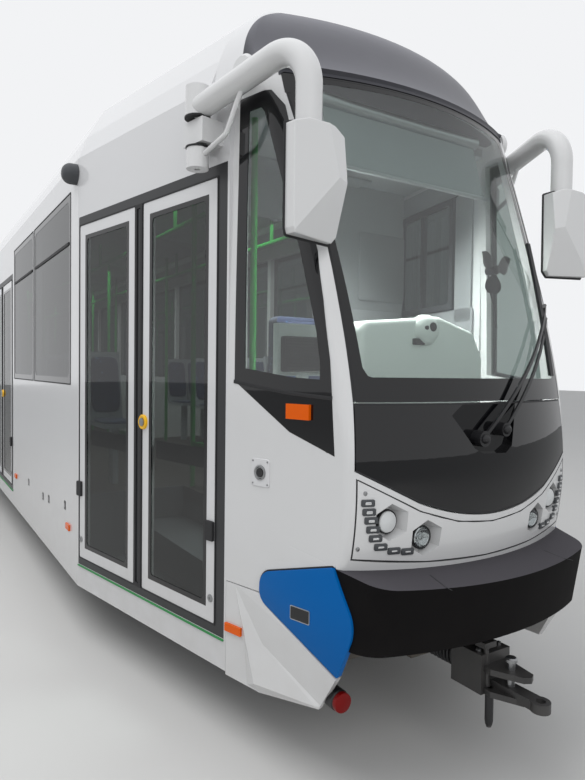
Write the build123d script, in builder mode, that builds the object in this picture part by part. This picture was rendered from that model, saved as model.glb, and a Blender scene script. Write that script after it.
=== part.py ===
"""A one-section city tram on two bogies, with doors along its right side.

The frame has +X towards the cab, +Y to the left and +Z up. The floor plane is at
the wheel flanges' lowest points, so the rail heads are one flange height above it.
All sizes are in millimetres.
"""
import os
from math import atan2, cos, degrees, hypot, radians, sin, sqrt, tan

from build123d import *

os.makedirs("parts", exist_ok=True)

# Driving dimensions of the body
FLANGE = 26                # the rail head stands this much above the floor plane
HALF_WIDTH = 1200          # body side at the parallel part
CORNER_X = 5010            # where the body starts to taper towards each end
SEAM_X = 6555              # joint between the body and the moulded end
SEAM_Y = 879               # half width at that joint
END_TAPER = 15.74          # plan angle of the cab side, in degrees
NOSE_R = 1780              # plan radius of the nose
WALL = 60                  # thickness of side walls
SHELL = 45                 # thickness of the moulded end
GLASS = 12                 # thickness of the bonded glazing

# Heights above the rail head
SKIRT_Z = 300
SEAM_Z = 735               # upper edge of the corner skirts
FLOOR_Z = 900              # floor over the bogies
LOW_FLOOR_Z = 470          # floor between the bogies
BELT_Z = 1600              # joint between windscreen and apron
CANT_Z = 3070              # top of the side walls
ROOF_Z = 3475              # top of the roof fairing

# Running gear
BOGIE_X = 3450             # distance of each bogie's pivot from the middle
WHEELBASE = 1900
TREAD_R = 327
GAUGE_FACE = 680           # inner face of each wheel from the middle
WHEEL_WIDTH = 110
AXLE_R = 75
AXLE_Z = TREAD_R           # above the rail head
PIVOT_R = 90


def level(above_rail):
    """Height in the part's frame of a height above the rail head."""
    return FLANGE + above_rail


# Planes of the right side, each with its origin at its rear or outer edge
TAPER = degrees(atan2(HALF_WIDTH - SEAM_Y, SEAM_X - CORNER_X))
TAPER_LENGTH = hypot(HALF_WIDTH - SEAM_Y, SEAM_X - CORNER_X)


def side_plane(x, y, angle):
    """Upright plane of the right side, its normal outwards and its X along the side."""
    a = radians(angle)
    return Plane(origin=(x, -y, 0), x_dir=(cos(a), sin(a), 0), z_dir=(sin(a), -cos(a), 0))


FLAT_SIDE = side_plane(0, HALF_WIDTH, 0)
DOOR_SIDE = side_plane(CORNER_X, HALF_WIDTH, TAPER)
REAR_DOOR_SIDE = side_plane(-SEAM_X, SEAM_Y, -TAPER)
CAB_SIDE = side_plane(SEAM_X, SEAM_Y, END_TAPER)


def end_corner(nose_x, inset, back_y):
    """Point where the nose arc meets the cab side, both moved inwards by inset."""
    a = radians(END_TAPER)
    radius = NOSE_R - inset
    centre_x = nose_x - NOSE_R
    along_x, along_y = cos(a), -sin(a)
    dx, dy = SEAM_X - centre_x, back_y
    b = dx * along_x + dy * along_y
    t = -b + sqrt(b * b - dx * dx - dy * dy + radius * radius)
    return SEAM_X + t * along_x, back_y + t * along_y


def end_outline(height, nose_x, inset=0.0, corner_r=60.0, back_x=SEAM_X, side_inset=None):
    """Plan outline of the tapered end at one height: nose arc, two corners, two sides."""
    side = inset if side_inset is None else side_inset
    a = radians(END_TAPER)
    seam_y = SEAM_Y - side / cos(a)
    back_y = seam_y + (SEAM_X - back_x) * tan(a)
    cx, cy = end_corner(nose_x, inset, seam_y)
    with BuildSketch(Plane.XY.offset(level(height))) as outline:
        with BuildLine():
            Line((back_x, -back_y), (cx, -cy))
            ThreePointArc((cx, -cy), (nose_x - inset, 0), (cx, cy))
            Line((cx, cy), (back_x, back_y))
            Line((back_x, back_y), (back_x, -back_y))
        make_face()
        fillet(outline.vertices().group_by(Axis.X)[-1], corner_r)
    return outline.sketch.face()


# Sections of the moulded end: height above the rail, x of the nose, lean of the sides
END_SECTIONS = ((SEAM_Z, 7262, 0), (1150, 7372, 0), (BELT_Z, 7344, 0), (2330, 7150, 10),
                (CANT_Z, 6898, 25))


def end_solid(inset, corner_r, back_x=SEAM_X):
    """Solid envelope of the moulded end, from the corner skirts to the cant rail."""
    with BuildPart() as envelope:
        loft([end_outline(height, nose_x, inset, corner_r, back_x, inset + lean)
              for height, nose_x, lean in END_SECTIONS])
    return envelope.part


OUTER = end_solid(0, 60)
GLASS_CORE = end_solid(GLASS, 48, SEAM_X - 20)
SHELL_CORE = end_solid(SHELL, 16, SEAM_X - 20)
LAMP_CORE = end_solid(2 * SHELL, 8, SEAM_X - 20)


def screen_outline(grow):
    """Windscreen seen from the front, and the apron below it, grown by a margin."""
    with BuildLine() as line:
        Line((-652 - grow, level(BELT_Z)), (-660 - grow, level(1332) - grow / 2))
        Line((-660 - grow, level(1332) - grow / 2), (-397 - grow / 2, level(1198) - grow))
        ThreePointArc((-397 - grow / 2, level(1198) - grow), (0, level(1122) - grow),
                      (397 + grow / 2, level(1198) - grow))
        Line((397 + grow / 2, level(1198) - grow), (660 + grow, level(1332) - grow / 2))
        Line((660 + grow, level(1332) - grow / 2), (652 + grow, level(BELT_Z)))
        ThreePointArc((652 + grow, level(BELT_Z)), (672 + grow, level(2400)),
                      (722 + grow, level(3000)))
        Line((722 + grow, level(3000)), (700 + grow, level(3046) + grow))
        Line((700 + grow, level(3046) + grow), (-700 - grow, level(3046) + grow))
        Line((-700 - grow, level(3046) + grow), (-722 - grow, level(3000)))
        ThreePointArc((-722 - grow, level(3000)), (-672 - grow, level(2400)),
                      (-652 - grow, level(BELT_Z)))
    return line


# Plane of front views: its X is the tram's Y
FRONT_VIEW = Plane(origin=(0, 0, 0), x_dir=(0, 1, 0), z_dir=(1, 0, 0))
DEEP = 9000                # longer than any cut has to be


def prism(profile, near, far):
    """Solid between two distances along X whose section is a front-view outline."""
    with BuildPart() as block:
        with BuildSketch(FRONT_VIEW.offset(near)):
            with BuildLine():
                add(profile)
            make_face()
        extrude(amount=far - near)
    return block.part


SCREEN_CUT = prism(screen_outline(5).line, SEAM_X, DEEP)
SCREEN_FILL = prism(screen_outline(0).line, SEAM_X, DEEP)


def lamp_bed_outline(grow):
    """Front view of the lamp panel under the apron, grown by a margin."""
    with BuildLine() as line:
        Line((-655 - grow, level(975) - grow), (-655 - grow, level(1298) + grow))
        Line((-655 - grow, level(1298) + grow), (-390, level(1160) + grow))
        ThreePointArc((-390, level(1160) + grow), (0, level(1084) + grow),
                      (390, level(1160) + grow))
        Line((390, level(1160) + grow), (655 + grow, level(1298) + grow))
        Line((655 + grow, level(1298) + grow), (655 + grow, level(975) - grow))
        ThreePointArc((655 + grow, level(975) - grow), (0, level(930) - grow),
                      (-655 - grow, level(975) - grow))
    return line


LAMP_BED_CUT = prism(lamp_bed_outline(4).line, SEAM_X, DEEP)
LAMP_BED_FILL = prism(lamp_bed_outline(0).line, SEAM_X, DEEP)

# Outlines on the cab side, as (distance forward of the seam, height above the rail)
SIDE_GLASS = ((55, 2955), (83, 1712), (585, 1650), (540, 1888), (440, 2229), (180, 2945))
SIDE_WEDGE = ((70, 1674), (600, 1392), (592, 1622))
CORNER_SKIRT = ((2, 286), (228, 280), (574, 334), (670, 490), (236, 722),
                (230, SEAM_Z), (2, SEAM_Z))
CORNER_PANEL = ((240, 724), (246, 800), (330, 884), (640, 938), (732, 736), (676, 492))
CORNER_RECESS = ((231, 600), (231, 800), (318, 893), (645, 946), (740, 737), (705, 600))

# The bumper's top slopes from its lip up to the mask
LIP_X = 7510
LIP_Z = 880
LIP_SLOPE = 0.16


def raised(points):
    """The points of a side outline with their heights in the part's frame."""
    return [(t, level(z)) for t, z in points]


def plate(plane, points, near, far):
    """Plate between two distances outwards of an upright plane, from an outline on it."""
    with BuildPart() as piece:
        with BuildSketch(plane.offset(near)):
            with BuildLine():
                Polyline(*raised(points), close=True)
            make_face()
        extrude(amount=far - near)
    return piece.part


def bar_outline(left, right, low, high):
    """Four corners of an upright rectangle on a side plane."""
    return ((left, low), (right, low), (right, high), (left, high))


def lip_height(x):
    """Height above the rail of the bumper's sloping top at a distance along the tram."""
    return LIP_Z + (LIP_X - x) * LIP_SLOPE


with BuildPart() as under_lip:
    with BuildSketch(Plane.XZ):
        with BuildLine():
            Polyline(*raised(((6950, 600), (7700, 600), (7700, lip_height(7700)),
                              (6950, lip_height(6950)))), close=True)
        make_face()
    extrude(amount=900, both=True)

with BuildPart() as over_lip:
    with BuildSketch(Plane.XZ):
        with BuildLine():
            Polyline(*raised(((6700, 1100), (7700, 1100), (7700, lip_height(7700)),
                              (6700, lip_height(6700)))), close=True)
        make_face()
    extrude(amount=900, both=True)

GLASS_PRISM = plate(CAB_SIDE, SIDE_GLASS, 40, -90)
WEDGE_PRISM = plate(CAB_SIDE, SIDE_WEDGE, 40, -90)
RECESS_PRISM = plate(CAB_SIDE, CORNER_RECESS, 40, -90)
SIDE_CUTS = [GLASS_PRISM, WEDGE_PRISM, RECESS_PRISM]
BOTH_SIDE_CUTS = SIDE_CUTS + [cut.mirror(Plane.XZ) for cut in SIDE_CUTS]

with BuildPart() as cab_mask:
    add(OUTER)
    add(SHELL_CORE, mode=Mode.SUBTRACT)
    add(SCREEN_CUT, mode=Mode.SUBTRACT)
    add(LAMP_BED_CUT, mode=Mode.SUBTRACT)
    add(under_lip.part, mode=Mode.SUBTRACT)
    add(BOTH_SIDE_CUTS, mode=Mode.SUBTRACT)
cab_mask.part.label = "cab_mask"
export_step(cab_mask.part, "parts/cab_mask.step")

# Rear window, seen from behind
REAR_WINDOW = prism(Polyline(*raised(bar_outline(-620, 620, 1650, 2700)), close=True),
                    SEAM_X, DEEP)

with BuildPart() as rear_mask:
    add(OUTER)
    add(SHELL_CORE, mode=Mode.SUBTRACT)
    add(REAR_WINDOW, mode=Mode.SUBTRACT)
    add(LAMP_BED_CUT, mode=Mode.SUBTRACT)
    add(under_lip.part, mode=Mode.SUBTRACT)
    add(BOTH_SIDE_CUTS, mode=Mode.SUBTRACT)
    mirror(about=Plane.YZ, mode=Mode.REPLACE)
rear_mask.part.label = "rear_mask"
export_step(rear_mask.part, "parts/rear_mask.step")

with BuildPart() as windscreen:
    add(OUTER)
    add(GLASS_CORE, mode=Mode.SUBTRACT)
    add(SCREEN_FILL, mode=Mode.INTERSECT)
    split(bisect_by=Plane.XY.offset(level(BELT_Z)), keep=Keep.TOP)
windscreen.part.label = "windscreen"
export_step(windscreen.part, "parts/windscreen.step")

with BuildPart() as rear_window:
    add(OUTER)
    add(GLASS_CORE, mode=Mode.SUBTRACT)
    add(REAR_WINDOW, mode=Mode.INTERSECT)
    mirror(about=Plane.YZ, mode=Mode.REPLACE)
rear_window.part.label = "rear_window"
export_step(rear_window.part, "parts/rear_window.step")

# Wiper recess in the apron, seen from the front: (distance to the left, height)
WIPER_RECESS = ((-275, 1600), (-119, 1404), (-72, 1381), (73, 1376), (117, 1405), (168, 1600))
RECESS_DEPTH = 32

with BuildPart() as apron:
    add(OUTER)
    add(SHELL_CORE, mode=Mode.SUBTRACT)
    add(SCREEN_FILL, mode=Mode.INTERSECT)
    split(bisect_by=Plane.XY.offset(level(BELT_Z) - 3), keep=Keep.BOTTOM)
    with BuildSketch(FRONT_VIEW.offset(7370 - RECESS_DEPTH)):
        with BuildLine():
            Polyline(*raised(WIPER_RECESS), close=True)
        make_face()
    extrude(amount=100, mode=Mode.SUBTRACT)
apron.part.label = "apron"
export_step(apron.part, "parts/apron.step")

# Lamp pockets in the panel: distance from the middle, height, floor x, flat-to-flat size
LAMP_POCKETS = ((352, 1043, 7274, 128), (514, 1120, 7244, 128))
LAMP_R = 47

with BuildPart() as lamp_panels:
    add(OUTER)
    add(LAMP_CORE, mode=Mode.SUBTRACT)
    add(LAMP_BED_FILL, mode=Mode.INTERSECT)
    for from_middle, height, floor_x, size in LAMP_POCKETS:
        for side in (-1, 1):
            with BuildSketch(FRONT_VIEW.offset(floor_x)):
                with Locations((side * from_middle, level(height))):
                    RegularPolygon(size / 2 - 8, 6, major_radius=False, rotation=30)
            extrude(amount=110, taper=-12, mode=Mode.SUBTRACT)
    mirror(about=Plane.YZ)
lamp_panels.part.label = "lamp_panels"
export_step(lamp_panels.part, "parts/lamp_panels.step")

with BuildPart() as headlamps:
    for from_middle, height, floor_x, size in LAMP_POCKETS:
        with BuildSketch(FRONT_VIEW.offset(floor_x)):
            with Locations((from_middle, level(height)), (-from_middle, level(height))):
                Circle(LAMP_R)
        extrude(amount=16, taper=10)
headlamps.part.label = "headlamps"
export_step(headlamps.part, "parts/headlamps.step")

with BuildPart() as tail_lamps:
    for from_middle, height, floor_x, size in LAMP_POCKETS:
        with BuildSketch(FRONT_VIEW.offset(floor_x)):
            with Locations((from_middle, level(height)), (-from_middle, level(height))):
                Circle(LAMP_R)
        extrude(amount=16, taper=10)
    mirror(about=Plane.YZ, mode=Mode.REPLACE)
tail_lamps.part.label = "tail_lamps"
export_step(tail_lamps.part, "parts/tail_lamps.step")

with BuildPart() as cab_side_windows:
    add(OUTER)
    add(GLASS_CORE, mode=Mode.SUBTRACT)
    add([GLASS_PRISM, WEDGE_PRISM], mode=Mode.INTERSECT)
    mirror(about=Plane.XZ)
    mirror(about=Plane.YZ)
cab_side_windows.part.label = "cab_side_windows"
export_step(cab_side_windows.part, "parts/cab_side_windows.step")

with BuildPart() as corner_panels:
    add(plate(CAB_SIDE, CORNER_PANEL, -20, 14))
    fillet(corner_panels.edges().filter_by(lambda edge: abs(edge.length - 34) < 0.1)
           .sort_by(Axis.X)[:3], 40)
    chamfer(corner_panels.faces().sort_by_distance((7150, -900, level(750)))[0].edges(), 5)
    mirror(about=Plane.XZ)
    mirror(about=Plane.YZ)
corner_panels.part.label = "corner_panels"
export_step(corner_panels.part, "parts/corner_panels.step")

# Raised facets of the corner skirt: a ridge from its upper edge down to its tip
SKIRT_RIDGE = ((60, 731), (180, 731), (640, 455), (560, 345), (240, 300), (190, 330))

with BuildPart() as corner_skirts:
    add(plate(CAB_SIDE, CORNER_SKIRT, -SHELL, 0))
    with BuildSketch(CAB_SIDE):
        with BuildLine():
            Polyline(*raised(SKIRT_RIDGE), close=True)
        make_face()
    extrude(amount=22, taper=38)
    split(bisect_by=Plane.YZ.offset(SEAM_X), keep=Keep.TOP)
    mirror(about=Plane.XZ)
    mirror(about=Plane.YZ)
corner_skirts.part.label = "corner_skirts"
export_step(corner_skirts.part, "parts/corner_skirts.step")

# Bumper sections: height, x of the nose, corner radius
BUMPER_SECTIONS = ((620, 7462, 150), (985, 7528, 150))
BUMPER_CORE = ((600, 7458, 150), (840, 7502, 150))
BUMPER_BACK = 6960
BUMPER_WALL = 70
PANEL_SEAT = plate(CAB_SIDE, CORNER_RECESS, 40, -20)
SKIRT_SEAT = plate(CAB_SIDE, CORNER_SKIRT, 40, -SHELL)

with BuildPart() as bumpers:
    loft([end_outline(height, nose_x, 0, corner_r, BUMPER_BACK)
          for height, nose_x, corner_r in BUMPER_SECTIONS], ruled=True)
    loft([end_outline(height, nose_x, BUMPER_WALL, corner_r - BUMPER_WALL, BUMPER_BACK - 20)
          for height, nose_x, corner_r in BUMPER_CORE], ruled=True, mode=Mode.SUBTRACT)
    add(over_lip.part, mode=Mode.SUBTRACT)
    add([PANEL_SEAT, PANEL_SEAT.mirror(Plane.XZ)], mode=Mode.SUBTRACT)
    add([SKIRT_SEAT, SKIRT_SEAT.mirror(Plane.XZ)], mode=Mode.SUBTRACT)
    mirror(about=Plane.YZ)
bumpers.part.label = "bumpers"
export_step(bumpers.part, "parts/bumpers.step")


def inset_plan(inset, end_x, end_y):
    """Corners of the floor or roof plan inside the walls, tapering to each end."""
    a = radians(TAPER)
    corner_x = CORNER_X - inset * tan(a / 2)
    seam_y = SEAM_Y - inset / cos(a)
    quarter = ((end_x, end_y), (SEAM_X, seam_y), (corner_x, HALF_WIDTH - inset))
    right = [(x, -y) for x, y in quarter] + [(-x, -y) for x, y in reversed(quarter)]
    left = [(-x, y) for x, y in quarter] + [(x, y) for x, y in reversed(quarter)]
    return right + left


# Doors, along their plane: portal, leaf openings and glass as (start, end)
PORTAL = (14, 1564)
LEAVES = ((28, 728), (810, 1492))
LEAF_GLASS = ((105, 655), (880, 1420))
PORTAL_LEVELS = (450, 2690)
LEAF_LEVELS = (495, 2635)
LEAF_GLASS_LEVELS = (567, 2565)
PORTAL_DEPTH = 45
LEAF_DEPTH = 36
MIDDLE_DOOR_X = 632        # start of the middle door's portal plane
MIDDLE_DOOR_SIDE = side_plane(MIDDLE_DOOR_X, HALF_WIDTH, 0)

# Saloon windows, along the side
WINDOW_LEVELS = (1615, 2900)
RIGHT_WINDOWS = ((3440, 4800), (2300, 3380), (-790, 520), (-2120, -850), (-3450, -2180),
                 (-4800, -3510))
LEFT_WINDOWS = ((3440, 4800), (2100, 3380), (760, 2040), (-640, 700), (-2040, -700),
                (-3380, -2100), (-4800, -3440))
QUARTER_WINDOW = (150, 1350)

with BuildPart() as wall_right:
    add(plate(FLAT_SIDE, bar_outline(-CORNER_X, CORNER_X, SKIRT_Z, CANT_Z), -WALL, 0))
    for start, end in RIGHT_WINDOWS:
        add(plate(FLAT_SIDE, bar_outline(start, end, *WINDOW_LEVELS), -200, 10),
            mode=Mode.SUBTRACT)
    add(plate(MIDDLE_DOOR_SIDE, bar_outline(*PORTAL, *PORTAL_LEVELS), -200, 10),
        mode=Mode.SUBTRACT)
wall_right.part.label = "wall_right"
export_step(wall_right.part, "parts/wall_right.step")

with BuildPart() as wall_left:
    add(plate(FLAT_SIDE, bar_outline(-CORNER_X, CORNER_X, SKIRT_Z, CANT_Z), -WALL, 0))
    for start, end in LEFT_WINDOWS:
        add(plate(FLAT_SIDE, bar_outline(start, end, *WINDOW_LEVELS), -200, 10),
            mode=Mode.SUBTRACT)
    mirror(about=Plane.XZ, mode=Mode.REPLACE)
wall_left.part.label = "wall_left"
export_step(wall_left.part, "parts/wall_left.step")

# The tapered quarters beside the end doors; the left ones have a window instead
QUARTER = plate(DOOR_SIDE, bar_outline(0, TAPER_LENGTH + 13, SKIRT_Z, CANT_Z), -WALL, 0)
END_PORTAL_CUT = plate(DOOR_SIDE, bar_outline(*PORTAL, *PORTAL_LEVELS), -200, 10)
QUARTER_WINDOW_CUT = plate(DOOR_SIDE, bar_outline(*QUARTER_WINDOW, *WINDOW_LEVELS), -200, 10)
with BuildPart() as taper_span:
    with Locations(((CORNER_X + SEAM_X) / 2, 0, level(1700))):
        Box(SEAM_X - CORNER_X, 3000, 3400)

with BuildPart() as right_quarter:
    add(QUARTER)
    add(END_PORTAL_CUT, mode=Mode.SUBTRACT)
    add(taper_span.part, mode=Mode.INTERSECT)

with BuildPart() as left_quarter:
    add(QUARTER)
    add(QUARTER_WINDOW_CUT, mode=Mode.SUBTRACT)
    add(taper_span.part, mode=Mode.INTERSECT)
    mirror(about=Plane.XZ, mode=Mode.REPLACE)

with BuildPart() as front_quarters:
    add([right_quarter.part, left_quarter.part])
front_quarters.part.label = "front_quarters"
export_step(front_quarters.part, "parts/front_quarters.step")

with BuildPart() as rear_quarters:
    add([right_quarter.part, left_quarter.part])
    mirror(about=Plane.YZ, mode=Mode.REPLACE)
rear_quarters.part.label = "rear_quarters"
export_step(rear_quarters.part, "parts/rear_quarters.step")

with BuildPart() as roof_deck:
    with BuildSketch(Plane.XY.offset(level(CANT_Z - 45))):
        with BuildLine():
            Polyline(*inset_plan(WALL, SEAM_X, 700), close=True)
        make_face()
    extrude(amount=45)
roof_deck.part.label = "roof_deck"
export_step(roof_deck.part, "parts/roof_deck.step")

# Roof fairing section: distance inwards of the side, height above the rail
FAIRING = ((0, CANT_Z), (55, 3215), (165, 3410), (235, ROOF_Z), (330, ROOF_Z), (330, ROOF_Z - 35),
           (252, ROOF_Z - 35), (206, 3392), (96, 3200), (42, CANT_Z))
FAIRING_END_X = 6400
# Cap sections: height, x of the nose, inset of the sides
CAP_SECTIONS = ((CANT_Z, 6898, 25), (3215, 6790, 60), (3410, 6662, 165), (ROOF_Z, 6600, 245))
CAP_EDGE = ((6592, CANT_Z), (6502, ROOF_Z))


def half_width(x):
    """Half width of the body at a distance along it."""
    return HALF_WIDTH - max(0, abs(x) - CORNER_X) * tan(radians(TAPER))


def fairing_section(x):
    """Section of the left roof fairing on the cross plane at x."""
    with BuildSketch(FRONT_VIEW.offset(x)) as section:
        with BuildLine():
            Polyline(*raised([(half_width(x) - inwards, z) for inwards, z in FAIRING]), close=True)
        make_face()
    return section.sketch.face()


with BuildPart() as crown:
    loft([end_outline(height, nose_x, 0, 60, FAIRING_END_X, inset)
          for height, nose_x, inset in CAP_SECTIONS])

with BuildPart() as behind_cap:
    with BuildSketch(Plane.XZ):
        with BuildLine():
            Polyline(*raised(((6000, CANT_Z - 50), CAP_EDGE[0], CAP_EDGE[1], (6000, ROOF_Z + 50))),
                     close=True)
        make_face()
    extrude(amount=1300, both=True)

with BuildPart() as end_caps:
    add(crown.part)
    with BuildSketch(Plane.XZ) as edge_cut:
        with BuildLine():
            Polyline(*raised(((6000, CANT_Z - 50), (CAP_EDGE[0][0], CANT_Z - 50), CAP_EDGE[0],
                              CAP_EDGE[1], (CAP_EDGE[1][0], ROOF_Z + 50), (6000, ROOF_Z + 50))),
                     close=True)
        make_face()
    extrude(amount=1300, both=True, mode=Mode.SUBTRACT)
    mirror(about=Plane.YZ)
end_caps.part.label = "end_caps"
export_step(end_caps.part, "parts/end_caps.step")

with BuildPart() as roof_fairings:
    loft([fairing_section(x) for x in (-FAIRING_END_X, -CORNER_X, CORNER_X, FAIRING_END_X)],
         ruled=True)
    mirror(about=Plane.XZ)
roof_fairings.part.label = "roof_fairings"
export_step(roof_fairings.part, "parts/roof_fairings.step")

with BuildPart() as roof_crowns:
    add(crown.part)
    add(behind_cap.part, mode=Mode.INTERSECT)
    mirror(about=Plane.YZ)
roof_crowns.part.label = "roof_crowns"
export_step(roof_crowns.part, "parts/roof_crowns.step")

# Floor seen from the side: (x, height) of its upper and lower lines
FLOOR_T = 80
STEP_X = 1980              # where the floor drops between the bogies
FLOOR_END = 6960
STEP_Y = 480               # inner edge of the end doors' step wells
STEP_START = 5030
STEP_END = 6530
FLOOR_PROFILE = ((-FLOOR_END, FLOOR_Z), (-STEP_X, FLOOR_Z), (-STEP_X, LOW_FLOOR_Z),
                 (STEP_X, LOW_FLOOR_Z), (STEP_X, FLOOR_Z), (FLOOR_END, FLOOR_Z),
                 (FLOOR_END, FLOOR_Z - FLOOR_T), (STEP_X + 40, FLOOR_Z - FLOOR_T),
                 (STEP_X + 40, LOW_FLOOR_Z - 60), (-STEP_X - 40, LOW_FLOOR_Z - 60),
                 (-STEP_X - 40, FLOOR_Z - FLOOR_T), (-FLOOR_END, FLOOR_Z - FLOOR_T))
BOLSTER_Z = 740            # underside of the body bolsters
HEADSTOCK_X = 6740
PAD_X, PAD_Y, PAD_Z = 4960, 1050, 330
EAR_LEVELS = ((355, 380), (500, 525))
COUPLER_X = 6935           # pivot of the coupler
COUPLER_Z = 440
PIN_R = 24


def block(x_range, y_range, z_range):
    """Box between limits in X, Y and height above the rail."""
    (x0, x1), (y0, y1), (z0, z1) = x_range, y_range, z_range
    with BuildPart() as piece:
        with Locations(((x0 + x1) / 2, (y0 + y1) / 2, level((z0 + z1) / 2))):
            Box(x1 - x0, y1 - y0, z1 - z0)
    return piece.part


def tube(start, end, radius):
    """Round bar between two points given with heights above the rail."""
    first = (start[0], start[1], level(start[2]))
    last = (end[0], end[1], level(end[2]))
    axis = tuple(q - p for p, q in zip(first, last))
    with BuildPart() as piece:
        with BuildSketch(Plane(origin=first, z_dir=axis)):
            Circle(radius)
        extrude(amount=hypot(*axis))
    return piece.part


with BuildPart() as underframe:
    with BuildSketch(Plane.XZ):
        with BuildLine():
            Polyline(*raised(FLOOR_PROFILE), close=True)
        make_face()
    extrude(amount=HALF_WIDTH, both=True)
    with BuildSketch(Plane.XY.offset(level(0))):
        with BuildLine():
            Polyline(*inset_plan(WALL, FLOOR_END, 685), close=True)
        make_face()
    extrude(amount=1200, mode=Mode.INTERSECT)
    for end in (-1, 1):
        # Step well of the end door
        add(block(sorted((end * STEP_START, end * STEP_END)), (-1200, -STEP_Y), (600, 1000)),
            mode=Mode.SUBTRACT)
        # Body bolster with its centre pivot
        add(block((end * BOGIE_X - 240, end * BOGIE_X + 240), (-1100, 1100),
                  (BOLSTER_Z, FLOOR_Z - FLOOR_T)))
        with BuildSketch(Plane.XY.offset(level(420))):
            with Locations((end * BOGIE_X, 0)):
                Circle(PIVOT_R)
        extrude(amount=BOLSTER_Z - 420)
        # Centre sill, headstock and the ears that hold the coupler
        add(block(sorted((end * 5060, end * HEADSTOCK_X)), (-330, 330), (620, FLOOR_Z - FLOOR_T)))
        add(block(sorted((end * HEADSTOCK_X, end * (HEADSTOCK_X + 90))), (-700, 700),
                  (340, FLOOR_Z - FLOOR_T)))
        for low, high in EAR_LEVELS:
            add(block(sorted((end * (HEADSTOCK_X + 90), end * (COUPLER_X + 60))), (-110, 110),
                      (low, high)))
        with Locations((end * COUPLER_X, 0, level(440))):
            Cylinder(PIN_R + 0.1, 400, mode=Mode.SUBTRACT)
        # Jacking pads under the sole bars
        for side in (-1, 1):
            add(block(sorted((end * (PAD_X - 60), end * (PAD_X + 60))),
                      sorted((side * (PAD_Y - 80), side * (PAD_Y + 80))),
                      (PAD_Z, FLOOR_Z - FLOOR_T)))
underframe.part.label = "underframe"
export_step(underframe.part, "parts/underframe.step")

# Stairs of the end doors: (distance to the left, height)
STAIR = ((-1200, LOW_FLOOR_Z), (-800, LOW_FLOOR_Z), (-800, 690), (-STEP_Y, 690),
         (-STEP_Y, FLOOR_Z - FLOOR_T), (30 - STEP_Y, FLOOR_Z - FLOOR_T), (30 - STEP_Y, 660),
         (-770, 660), (-770, LOW_FLOOR_Z - 30), (-1200, LOW_FLOOR_Z - 30))
STAIR_CHEEK = ((-1200, LOW_FLOOR_Z), (-800, LOW_FLOOR_Z), (-800, 690), (-STEP_Y, 690),
               (-STEP_Y, FLOOR_Z), (-1200, FLOOR_Z))

with BuildPart() as door_steps:
    with BuildSketch(FRONT_VIEW.offset(STEP_START)):
        with BuildLine():
            Polyline(*raised(STAIR), close=True)
        make_face()
    extrude(amount=STEP_END - STEP_START)
    for start in (STEP_START, STEP_END - 20):
        with BuildSketch(FRONT_VIEW.offset(start)):
            with BuildLine():
                Polyline(*raised(STAIR_CHEEK), close=True)
            make_face()
        extrude(amount=20)
    with BuildSketch(Plane.XY.offset(level(0))):
        with BuildLine():
            Polyline(*inset_plan(WALL, FLOOR_END, 685), close=True)
        make_face()
    extrude(amount=1200, mode=Mode.INTERSECT)
    mirror(about=Plane.YZ)
door_steps.part.label = "door_steps"
export_step(door_steps.part, "parts/door_steps.step")


def door_set(plane, outlines, levels, near, far):
    """Plates side by side on one door plane, from their spans along it."""
    return [plate(plane, bar_outline(start, end, *levels), near, far) for start, end in outlines]


END_PORTAL = door_set(DOOR_SIDE, [PORTAL], PORTAL_LEVELS, -PORTAL_DEPTH, 0)
MIDDLE_PORTAL = door_set(MIDDLE_DOOR_SIDE, [PORTAL], PORTAL_LEVELS, -PORTAL_DEPTH, 0)

with BuildPart() as door_portals:
    add(END_PORTAL)
    add(door_set(DOOR_SIDE, LEAVES, LEAF_LEVELS, -200, 10), mode=Mode.SUBTRACT)
    mirror(about=Plane.YZ)
    add(MIDDLE_PORTAL)
    add(door_set(MIDDLE_DOOR_SIDE, LEAVES, LEAF_LEVELS, -200, 10), mode=Mode.SUBTRACT)
door_portals.part.label = "door_portals"
export_step(door_portals.part, "parts/door_portals.step")

with BuildPart() as door_leaves:
    add(door_set(DOOR_SIDE, LEAVES, LEAF_LEVELS, -LEAF_DEPTH, 0))
    add(door_set(DOOR_SIDE, LEAF_GLASS, LEAF_GLASS_LEVELS, -200, 10), mode=Mode.SUBTRACT)
    mirror(about=Plane.YZ)
    add(door_set(MIDDLE_DOOR_SIDE, LEAVES, LEAF_LEVELS, -LEAF_DEPTH, 0))
    add(door_set(MIDDLE_DOOR_SIDE, LEAF_GLASS, LEAF_GLASS_LEVELS, -200, 10), mode=Mode.SUBTRACT)
door_leaves.part.label = "door_leaves"
export_step(door_leaves.part, "parts/door_leaves.step")

with BuildPart() as door_glass:
    add(door_set(DOOR_SIDE, LEAF_GLASS, LEAF_GLASS_LEVELS, -12, -3))
    mirror(about=Plane.YZ)
    add(door_set(MIDDLE_DOOR_SIDE, LEAF_GLASS, LEAF_GLASS_LEVELS, -12, -3))
door_glass.part.label = "door_glass"
export_step(door_glass.part, "parts/door_glass.step")

with BuildPart() as saloon_windows:
    add(door_set(FLAT_SIDE, LEFT_WINDOWS, WINDOW_LEVELS, -12, -1))
    add(door_set(DOOR_SIDE, [QUARTER_WINDOW], WINDOW_LEVELS, -12, -1))
    mirror(about=Plane.XZ, mode=Mode.REPLACE)
    add(door_set(FLAT_SIDE, RIGHT_WINDOWS, WINDOW_LEVELS, -12, -1))
    add([plate(DOOR_SIDE, bar_outline(*QUARTER_WINDOW, *WINDOW_LEVELS), -12, -1)
         .mirror(Plane.XZ).mirror(Plane.YZ)])
saloon_windows.part.label = "saloon_windows"
export_step(saloon_windows.part, "parts/saloon_windows.step")

# Orange lamps: on the wedge, on the corner skirt and along the sides
WEDGE_LAMP = (384, 512, 1520, 1584)
SKIRT_LAMP = (4, 112, 500, 538)
SIDE_MARKERS = (4750, 2410, -1400, -4750)

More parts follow.
